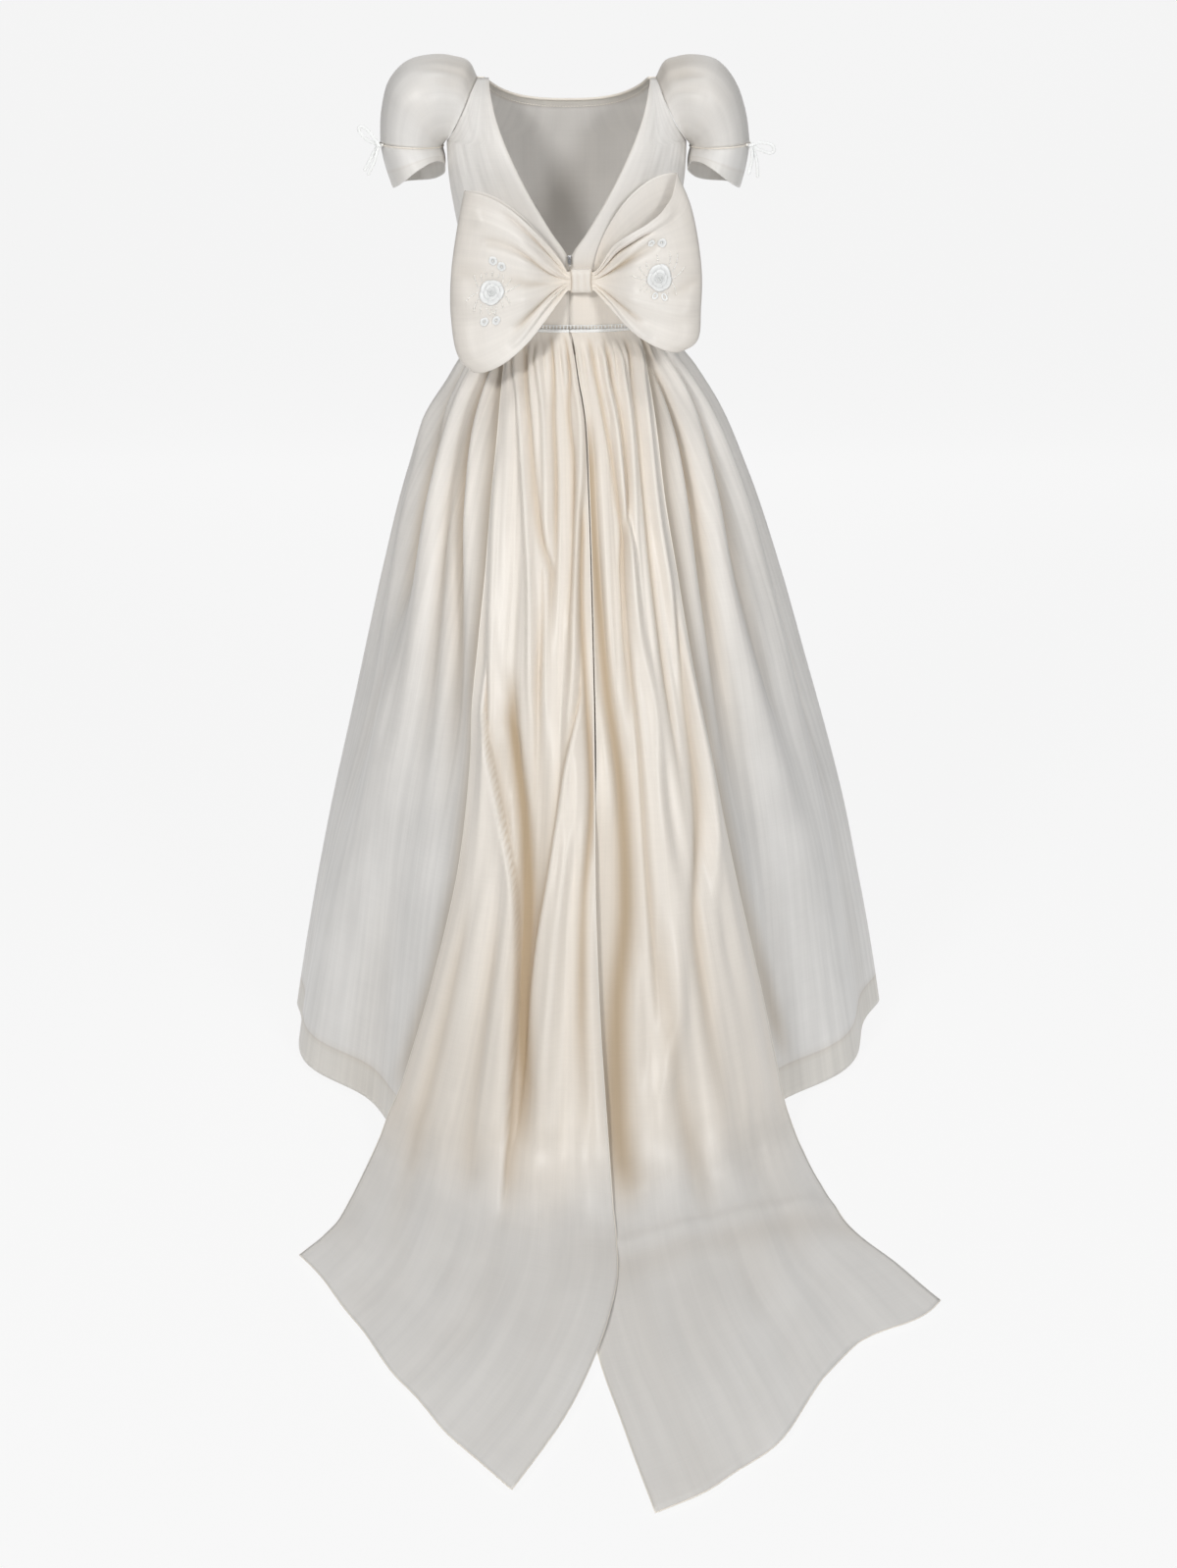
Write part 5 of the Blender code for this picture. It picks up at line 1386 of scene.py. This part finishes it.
class DRESS_OT_tails(Operator):
    """Makes the two long tails and the narrow rolled hems along their edges."""

    bl_idname = "dress.tails"
    bl_label = "Tails"

    def execute(self, context):
        look = context.scene.dress
        cloth_look = silk(look, "silk_tail")
        steps = np.concatenate([np.linspace(0.0, 13.0, 210), np.linspace(13.0, 17.0, 56)[1:]])
        row, share = grid(steps, np.linspace(0.0, 1.0, 126))
        for table, side, word in ((LEFT_TAIL, -1, "left"), (RIGHT_TAIL, 1, "right")):
            points, relief, shade = tail_point(table, side, share, row)
            ragged = 0.7 * soft_noise(6.0 * share, 0.4 * row, 5.0 + side)
            over_floor = smoothstep((row - 9.6 - 1.0 * share + ragged) / 3.2)
            # Painted shade in the troughs of the pleats and along the listed creases, less once
            # the tail lies on the floor, where soft random patches are added.
            mean = relief.mean(axis=1, keepdims=True)
            fold = np.clip((mean - relief) / 0.016, 0.0, 1.0) * 0.40 + 0.75 * shade
            fold = fold * (1.0 - 0.60 * over_floor)
            cloudy = soft_noise(4.0 * share + 0.2 * row, 1.1 * row, 9.0 + side)
            fold = fold + 0.10 * np.clip(cloudy, 0.0, 1.0) * over_floor
            warm = (0.95 - 0.30 * share) * (1 - over_floor) + 0.05 * over_floor
            edge = bell(share * (1 - share), 0.0, 0.010)
            tone = tones(share.shape, warm, 0.5 * edge, fold)
            piece = cloth("tail_" + word + "_silk", points, cloth_look, (0.0, 0.0, 0.3),
                          (0.36, 1.85), tone, wall=TAIL_WALL)
            declare(piece, ["tail_" + word])
            rim = np.concatenate([points[20:, 0], points[-1, 1:-1], points[:19:-1, -1]])
            lifted = rim + (0.0, 0.0, 0.0004) + outward(rim, (0.02, 0.0)) * 0.0005
            rings = swept(lifted, ROLLED_HEM_RADIUS, sides=6)
            hem = welded(placed("tail_" + word + "_rolled_hem",
                                ring_mesh("rolled_hem", [rings]), silk_plain(look)))
            declare(hem, [])
        return {'FINISHED'}


def knot_depth():
    """How far behind the origin the middle of the knot lies: on the bodice's outer side."""
    top = np.array(KNOT["height"] + KNOT["half_height"])
    bodice = -bodice_point(np.array(0.0), top, front=False)[1]
    return float(bodice) + WALL + KNOT_BACK_GAP + KNOT["half_depth"]


def loop_point(side, out, down, front, creased=True):
    """A place on a loop of the bow: out from the knot, down from its top edge, and on the
    front layer (front 1, away from the dress) or on the back layer (-1).

    x goes evenly to the outer fold, height opens like a sine, and the two layers stand
    apart by a depth that is small in the knot and closes in a round at the fold. Creases
    fan out from the knot, each a bell curve across its line.
    """
    fold = LEFT_LOOP_FOLD if side < 0 else RIGHT_LOOP_FOLD
    start_x = KNOT["x"] + side * LOOP_END["reach"]
    start_height = KNOT["height"] + LOOP_END["half_height"] * (1 - 2 * down)
    open_out = np.clip((out - 0.08) / 0.92, 0.0, 1.0)
    x = start_x + (through(fold, 1, down) - start_x) * out
    upper = 1 - smoothstep(down / 0.45)
    slack = 1.0 - upper * LOOP_TOP_SLACK[side]
    spread = np.sin(open_out * math.pi / 2) ** slack
    if side > 0:
        lapped = np.sin(open_out * math.pi / 2) * (1 - upper)
        lapped = lapped + through(RIGHT_FRONT_OPENING, 1, out) * upper
        spread = np.where(front > 0, lapped, spread)
    height = start_height + (through(fold, 2, down) - start_height) * spread
    depth = LOOP_END["half_depth"] + (LOOP_DEPTH - LOOP_END["half_depth"]) * smoothstep(
        open_out / 0.5)
    round_end = np.sqrt(1 - np.clip((out - 0.8) / 0.2, 0.0, 1.0) ** 2)
    low = smoothstep((1.075 - height) / 0.10)
    lean = LOOP_LEAN * smoothstep(open_out / 0.4)
    lean = lean + LOOP_DROP_LEAN * low * smoothstep(open_out / 0.35)
    near_knot = 2.2 * np.sqrt(open_out) * (1 - open_out) ** 2
    crease = LOOP_CREASE * near_knot * np.cos(2 * math.pi * LOOP_CREASES * down)
    if creased:
        for width, deep, outs, downs in LOOP_FRONT_CREASES[side]:
            line = through(np.column_stack([outs, downs]), 1, out)
            span = bounded(out, outs[0] - 0.02, outs[-1] + 0.12, 0.14)
            tight = 0.45 + 0.55 * smoothstep(open_out / 0.5)
            crease = crease + deep * bell(down, line, width * tight) * span
        crease = crease + 0.0010 * soft_noise(9.0 * out, 8.0 * down, side) * smoothstep(
            open_out / 0.3)
    y = -(knot_depth() + lean + front * depth * round_end)
    y = y - np.where(front > 0, crease * round_end, 0.0)
    return np.stack([x, y, height], axis=-1)


class DRESS_OT_bow(Operator):
    """Makes the two loops of the bow and the knot round their ends."""

    bl_idname = "dress.bow"
    bl_label = "Bow"

    def execute(self, context):
        look = context.scene.dress
        cloth_look = silk(look, "silk_bow")
        stations = 1.0 - (1.0 - np.linspace(0.0, 1.0, 66)[:-1]) ** 1.25
        out = np.concatenate([stations, [1.0], stations[::-1]])
        layer = np.concatenate([-np.ones(len(stations)), [1.0], np.ones(len(stations))])
        downs = np.linspace(0.0, 1.0, 88)
        for side, word in ((-1, "left"), (1, "right")):
            outs, down = grid(out, downs)
            layers = np.repeat(layer[:, None], len(downs), axis=1)
            points = loop_point(side, outs, down, layers)
            plain = loop_point(side, outs, down, layers, creased=False)
            deep = np.clip((points[..., 1] - plain[..., 1]) / 0.008, 0.0, 1.0)
            deep = deep * (1.0 - 0.75 * smoothstep((outs - 0.30) / 0.30))
            near = bell(outs, 0.0, 0.22)
            edge = bell(down * (1 - down), 0.0, 0.016)
            shaded_ends = smoothstep((outs - 0.62) / 0.34) * (layers > 0)
            # Painted shade in the creases and a little near the knot, and painted shade with
            # less cream over the rounded outer ends of the front layers.
            tone = tones(outs.shape, 0.42 + 0.55 * near - 0.20 * shaded_ends, 0.10 * edge,
                         0.90 * deep + 0.08 * near + 0.24 * shaded_ends)
            piece = cloth("bow_loop_" + word + "_silk", points, cloth_look,
                          points.reshape(-1, 3).mean(axis=0), (0.50, 0.22), tone,
                          wall=look.wall)
            declare(piece, ["bow_loop_" + word])
        station, angle = grid(np.linspace(-1.0, 1.0, 34), ring_angles(90))
        front = np.clip(-np.cos(angle), 0.0, 1.0)
        folds = 0.0004 * np.cos(9.0 * station + 0.8 * np.sin(angle)) * front
        roll = 0.0014 * np.abs(station) ** 6
        waist = 1.0 - 0.05 * (1 - station ** 2)
        height = (KNOT["half_height"] * waist - roll) * squared_off(np.sin(angle), 0.6)
        y = (KNOT["half_depth"] - roll + folds) * squared_off(np.cos(angle), 0.6)
        points = np.stack([KNOT["x"] + KNOT["half_x"] * station * (0.86 + 0.10 * np.abs(
            np.sin(angle))), -knot_depth() + y, KNOT["height"] + height], axis=-1)
        # Painted shade in the knot's small folds and at its ends.
        tone = tones(station.shape, 0.60, 0.2, np.clip(0.10 - 200.0 * folds, 0.0, 0.4)
                     * front + 0.4 * np.abs(station) ** 8)
        piece = cloth("bow_knot_silk", points, cloth_look,
                      (KNOT["x"], -knot_depth(), KNOT["height"]), (0.03, 0.10), tone,
                      closed=True, wall=look.wall, outward=-1.0)
        declare(piece, ["bow_knot"])
        return {'FINISHED'}


def on_loop(side, out, down):
    """Places on a loop's outer face, the directions off it there, and the shares of the way
    out and down that a metre along it takes."""
    out, down = np.broadcast_arrays(np.asarray(out, float), np.asarray(down, float))
    step = 0.004
    here = loop_point(side, out, down, np.ones(out.shape))
    along = loop_point(side, out + step, down, np.ones(out.shape)) - here
    across = loop_point(side, out, down + step, np.ones(out.shape)) - here
    per_out = step / np.linalg.norm(along, axis=-1)
    per_down = step / np.linalg.norm(across, axis=-1)
    normal = np.cross(along, across)
    normal = normal / np.linalg.norm(normal, axis=-1)[..., None]
    normal = normal * -np.sign(normal[..., 1])[..., None]
    return here, normal, per_out, per_down


def on_face(side, out, down, x, y, lift):
    """Places x and y metres out and down from a place of a loop, lifted off its face."""
    _, _, per_out, per_down = on_loop(side, out, down)
    there, normal, _, _ = on_loop(side, out + x * per_out, down + y * per_down)
    return there + normal * (0.0011 + np.asarray(lift))[..., None]


def petal(middle, half, inner, outer, base, rise, tilt):
    """Numbers of one petal: how far round, how far out, how high, and how much painted shade
    each point gets.

    It rises from its root, rolls over near its rim, is shorter towards its sides, and one
    side is tilted up so that it laps over the next petal.
    """
    u, v = grid(np.linspace(-1.0, 1.0, 11), np.linspace(0.0, 1.0, 7))
    reach = inner + (outer - inner) * v * (1.0 - 0.20 * u * u)
    lift = base + rise * np.sin(math.pi * (0.16 + 0.76 * v)) + tilt * (u + 1.0) / 2.0 * v
    # Painted shade: deepest at the root, and on the side that lies under the next petal.
    shade = 0.9 * (1.0 - v) ** 1.3 + 0.9 * np.clip(-u - 0.35, 0.0, 1.0)
    return middle + half * u, reach, lift - 0.4 * rise * u * u * v, shade


def flower_grids(side, out, down, radius, height, tall):
    """The petals of a rose in two rings round a rolled bud, or the one ring of a rosette."""
    big = radius > SMALLEST_ROSE
    parts = [petal(2 * math.pi * (k + 0.3) / 5, 0.86, (0.40 if big else 0.12) * radius, radius,
                   0.0003, 0.36 * height, 0.20 * height) for k in range(5)]
    if big:
        parts += [petal(2 * math.pi * (k + 0.1) / 4, 1.0, 0.22 * radius, 0.64 * radius,
                        0.30 * height, 0.34 * height, 0.20 * height) for k in range(4)]
        # The rolled bud gets painted shade towards its base, and the small disc in its middle an
        # even painted shade.
        t, v = grid(np.linspace(0.0, 1.0, 90), np.linspace(0.0, 1.0, 5))
        parts.append((2 * math.pi * 2.3 * t, radius * (0.04 + 0.34 * t + 0.05 * v),
                      height * (0.45 + (0.52 - 0.22 * t) * v), 1.0 - v))
        turn, v = grid(np.linspace(0.0, 2 * math.pi, 13), np.linspace(0.0, 1.0, 3))
        parts.append((turn, radius * (0.01 + 0.40 * v), height * 0.60 + 0.0 * v, 0.45 + 0.0 * v))
    return [(on_face(side, out, down, reach * np.cos(turn), reach * np.sin(turn) * tall, lift),
             shade) for turn, reach, lift, shade in parts]


def patch_mesh(name, grids):
    """One mesh from several open grids and how much painted shade their points get.

    Each grid is turned to face away from the dress.
    """
    places, faces, shades, start = [], [], [], 0
    for grid, shade in grids:
        rows, columns = grid.shape[:2]
        quads = grid_faces(rows, columns, False)[0]
        flat = grid.reshape(-1, 3)
        corners = flat[quads]
        normals = np.cross(corners[:, 2] - corners[:, 0], corners[:, 3] - corners[:, 1])
        faces.append((quads if normals[:, 1].sum() < 0 else quads[:, ::-1]) + start)
        places.append(flat)
        shades.append(shade.ravel())
        start += len(flat)
    everything = np.concatenate(places)
    everything[:, 2] -= SHOULDER_HEIGHT
    mesh = mesh_from(name, everything, np.concatenate(faces))
    store_tone(mesh, np.concatenate(shades)[:, None])
    return mesh


class DRESS_OT_flowers(Operator):
    """Makes the ribbon roses and the small rosettes of the bow."""

    bl_idname = "dress.flowers"
    bl_label = "Ribbon roses"

    def execute(self, context):
        look = context.scene.dress
        ribbon = material_named("petal_satin", petal_material, tuple(look.ribbon))
        for name, side, out, down, radius, height in FLOWERS:
            big = radius > SMALLEST_ROSE
            grids = flower_grids(side, out, down, radius * (0.94 if big else 1.1), height,
                                 1.12 if name == "rose_right" else 1.0)
            piece = placed(name + "_ribbon", patch_mesh(name, grids), ribbon)
            declare(walled(piece, PETAL_WALL, 1.0), [name])
        return {'FINISHED'}


# Sprays of beads round each rose: direction in degrees from straight out, first and last
# distance, beads, bend
BEAD_SPRAYS = {
    "rose_left": (
        (0, 0.021, 0.034, 5, 0.25), (24, 0.020, 0.031, 5, 0.3), (-24, 0.020, 0.031, 5, -0.3),
        (48, 0.021, 0.028, 3, 0.2), (-48, 0.021, 0.028, 3, -0.2),
        (180, 0.021, 0.037, 6, 0.25), (156, 0.020, 0.032, 5, -0.3), (204, 0.020, 0.032, 5, 0.3),
        (132, 0.021, 0.028, 3, -0.2), (228, 0.021, 0.028, 3, 0.2),
        (90, 0.021, 0.033, 5, 0.1), (72, 0.021, 0.028, 3, 0.2), (108, 0.021, 0.028, 3, -0.2),
        (-90, 0.021, 0.026, 3, 0.0), (-70, 0.022, 0.026, 2, 0.0), (-110, 0.022, 0.026, 2, 0.0)),
    "rose_right": (
        (0, 0.020, 0.034, 5, -0.3), (26, 0.020, 0.030, 4, 0.3), (-26, 0.022, 0.036, 5, -0.3),
        (-48, 0.022, 0.032, 4, -0.2), (180, 0.021, 0.037, 6, 0.25), (158, 0.020, 0.032, 5, -0.3),
        (202, 0.020, 0.032, 5, 0.3), (226, 0.021, 0.028, 3, 0.2), (134, 0.021, 0.027, 3, 0.0),
        (-90, 0.022, 0.028, 3, 0.0), (62, 0.022, 0.029, 3, 0.1), (118, 0.022, 0.029, 3, -0.1)),
}


class DRESS_OT_beads(Operator):
    """Makes the sprays of seed beads, the bead in each rosette and the two ribbon loops."""

    bl_idname = "dress.beads"
    bl_label = "Beading"

    def execute(self, context):
        look = context.scene.dress
        pearl = seed_pearl(look)
        ribbon = material_named("ribbon_satin", ribbon_silk, tuple(look.ribbon), 0.30, 0.9)
        for name, side, out, down, _, _ in FLOWERS[:2]:
            sprays, word = BEAD_SPRAYS[name], name[5:]
            xs, ys = [], []
            for direction, first, last, count, bend in sprays:
                t = np.linspace(0.0, 1.0, count)
                reach = first + (last - first) * t
                turn = np.radians(direction) + bend * t
                xs.append(reach * np.cos(turn))
                ys.append(reach * np.sin(turn))
            x, y = np.concatenate(xs), np.concatenate(ys)
            spots = on_face(side, out, down, x, y, np.full(x.shape, 0.0006))
            hearts = np.array([on_face(side, row[2], row[3], 0.0, 0.0, HEART_BEAD)
                               for row in FLOWERS if row[1] == side and row[4] < SMALLEST_ROSE])
            uneven = 0.9 + 0.25 * np.sin(np.arange(len(spots)) * 2.4)
            sizes = np.concatenate([np.full(len(spots), look.bead) * uneven,
                                    np.full(len(hearts), HEART_BEAD)])
            piece = placed("seed_beads_" + word, beads_mesh(np.concatenate([spots, hearts]),
                                                            sizes), pearl)
            declare(piece, [])
            stems = []
            for direction, first, last, count, bend in sprays:
                t = np.linspace(-0.25, 1.0, 6)
                reach, turn = first + (last - first) * t, np.radians(direction) + bend * t
                path = on_face(side, out, down, reach * np.cos(turn), reach * np.sin(turn),
                               np.full(t.shape, -0.0001))
                stems.append(swept(path, STEM_RADIUS, sides=5))
            piece = welded(placed("spray_stems_" + word, ring_mesh("stems", stems), ribbon))
            declare(piece, [])
        loops = []
        for off, lean in ((-0.0045, -0.25), (0.0055, 0.2)):
            t = np.linspace(0.0, 2 * math.pi, 30)
            x = off + 0.0028 * np.sin(t) + lean * 0.008 * (1 - np.cos(t)) / 2
            y = 0.0205 + 0.0045 * (1 - np.cos(t))
            path = on_face(side, out, down, x, y, 0.0010 + 0.0008 * np.sin(t / 2))
            loops.append(swept(path, 0.0011, sides=8, flat=0.5, up=(0.0, 1.0, 0.0)))
        piece = welded(placed("ribbon_loops", ring_mesh("ribbon_loops", loops), ribbon))
        declare(piece, [])
        return {'FINISHED'}


class DRESS_OT_zip(Operator):
    """Makes the long open pull of the zip, and gives the slider that it hangs in the nickel too.
    """

    bl_idname = "dress.zip"
    bl_label = "Zip"

    def execute(self, context):
        look = context.scene.dress
        nickel = material_named("nickel_plate", nickel_material, tuple(look.metal))
        low, high = (np.array(corner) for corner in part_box("zip_pull"))
        middle = (low + high) / 2
        width, thick, length = high - low
        turn = ring_angles(60)
        radius = thick * 0.42
        x = middle[0] + (width / 2 - radius) * squared_off(np.cos(turn), 0.7)
        z = middle[2] + SHOULDER_HEIGHT + (length / 2 - radius) * squared_off(
            np.sin(turn), 0.8)
        path = np.stack([x, np.full(x.shape, middle[1]), z], axis=-1)
        rings = swept(path, radius, sides=10, up=(0.0, 1.0, 0.0), closed=True)
        piece = placed("zip_pull_wire", ring_mesh("zip_pull_wire", [rings], closed=True),
                       nickel)
        declare(piece, ["zip_pull"], "zip_pull")
        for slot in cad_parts["zip_slider"].material_slots:
            slot.material = nickel
        return {'FINISHED'}


def area_light(name, place, target, size, power, colour):
    """A square soft light that points at a place."""
    data = bpy.data.lights.new(name, 'AREA')
    data.energy = power
    data.size = size
    data.color = colour
    lamp = bpy.data.objects.new(name, data)
    lamp.location = place
    away = np.array(place) - np.array(target)
    lamp.rotation_euler = (math.acos(away[2] / np.linalg.norm(away)), 0.0,
                           math.atan2(away[1], away[0]) + math.pi / 2)
    bpy.context.scene.collection.objects.link(lamp)


class DRESS_OT_stage(Operator):
    """Makes the pale floor, the soft lights and the camera at the photograph's angle."""

    bl_idname = "dress.stage"
    bl_label = "Stage"

    def execute(self, context):
        floor = -SHOULDER_HEIGHT
        v, u = grid(np.linspace(0.0, 1.0, 60), np.linspace(-2.8, 2.8, 3))
        run = v * 14.0
        bend = np.clip((run - 9.0) / 2.0, 0.0, 1.0) * math.pi / 2
        y = -5.0 + np.minimum(run, 9.0) + 1.3 * np.sin(bend)
        z = floor + 1.3 * (1 - np.cos(bend)) + np.maximum(run - 11.0, 0.0) * 1.6
        points = np.stack([u, y, z], axis=-1).reshape(-1, 3)
        paper = new_material("pale_backdrop", linear("505050"), 0.9,
                             Emission_Color=(1.0, 1.0, 1.0, 1.0), Emission_Strength=0.86)[0]
        faces = grid_faces(60, 3, False)[0]
        backdrop = placed("backdrop", mesh_from("backdrop", points, faces[:, ::-1]), paper)
        world = bpy.data.worlds.new("soft_room")
        world.use_nodes = True
        room = world.node_tree.nodes["Background"].inputs
        room["Color"].default_value = (0.96, 0.98, 1.0, 1.0)
        room["Strength"].default_value = 0.20
        context.scene.world = world
        context.scene.view_settings.view_transform = 'Standard'
        for light in LIGHTS:
            area_light(*light)
        data = bpy.data.cameras.new("camera")
        data.lens = CAMERA["lens"]
        data.sensor_width = CAMERA["sensor"]
        camera = bpy.data.objects.new("camera", data)
        camera.location = CAMERA["place"]
        camera.rotation_euler = (math.radians(90.0 - CAMERA["tilt"]), 0.0, 0.0)
        context.scene.collection.objects.link(camera)
        context.scene.camera = camera
        return {'FINISHED'}


class DRESS_PT_panel(Panel):
    """Lists the steps and the settings in the sidebar."""

    bl_label = "Wedding dress"
    bl_space_type = 'VIEW_3D'
    bl_region_type = 'UI'
    bl_category = "Dress"

    def draw(self, context):
        for step in STEPS:
            self.layout.operator(step.bl_idname)
        for key in DressSettings.__annotations__:
            self.layout.prop(context.scene.dress, key)


STEPS = (DRESS_OT_bodice, DRESS_OT_sleeves, DRESS_OT_ties, DRESS_OT_waist, DRESS_OT_skirt,
         DRESS_OT_tails, DRESS_OT_bow, DRESS_OT_flowers, DRESS_OT_beads, DRESS_OT_zip,
         DRESS_OT_stage)


def register():
    """Adds the classes and the scene's settings."""
    for kind in (DressSettings, *STEPS, DRESS_PT_panel):
        bpy.utils.register_class(kind)
    bpy.types.Scene.dress = PointerProperty(type=DressSettings)


def unregister():
    """Takes them away again."""
    del bpy.types.Scene.dress
    for kind in (DRESS_PT_panel, *reversed(STEPS), DressSettings):
        bpy.utils.unregister_class(kind)


def main():
    """Makes every piece in order."""
    register()
    for step in STEPS:
        group, name = step.bl_idname.split(".")
        getattr(getattr(bpy.ops, group), name)()


if __name__ == "__main__":
    main()
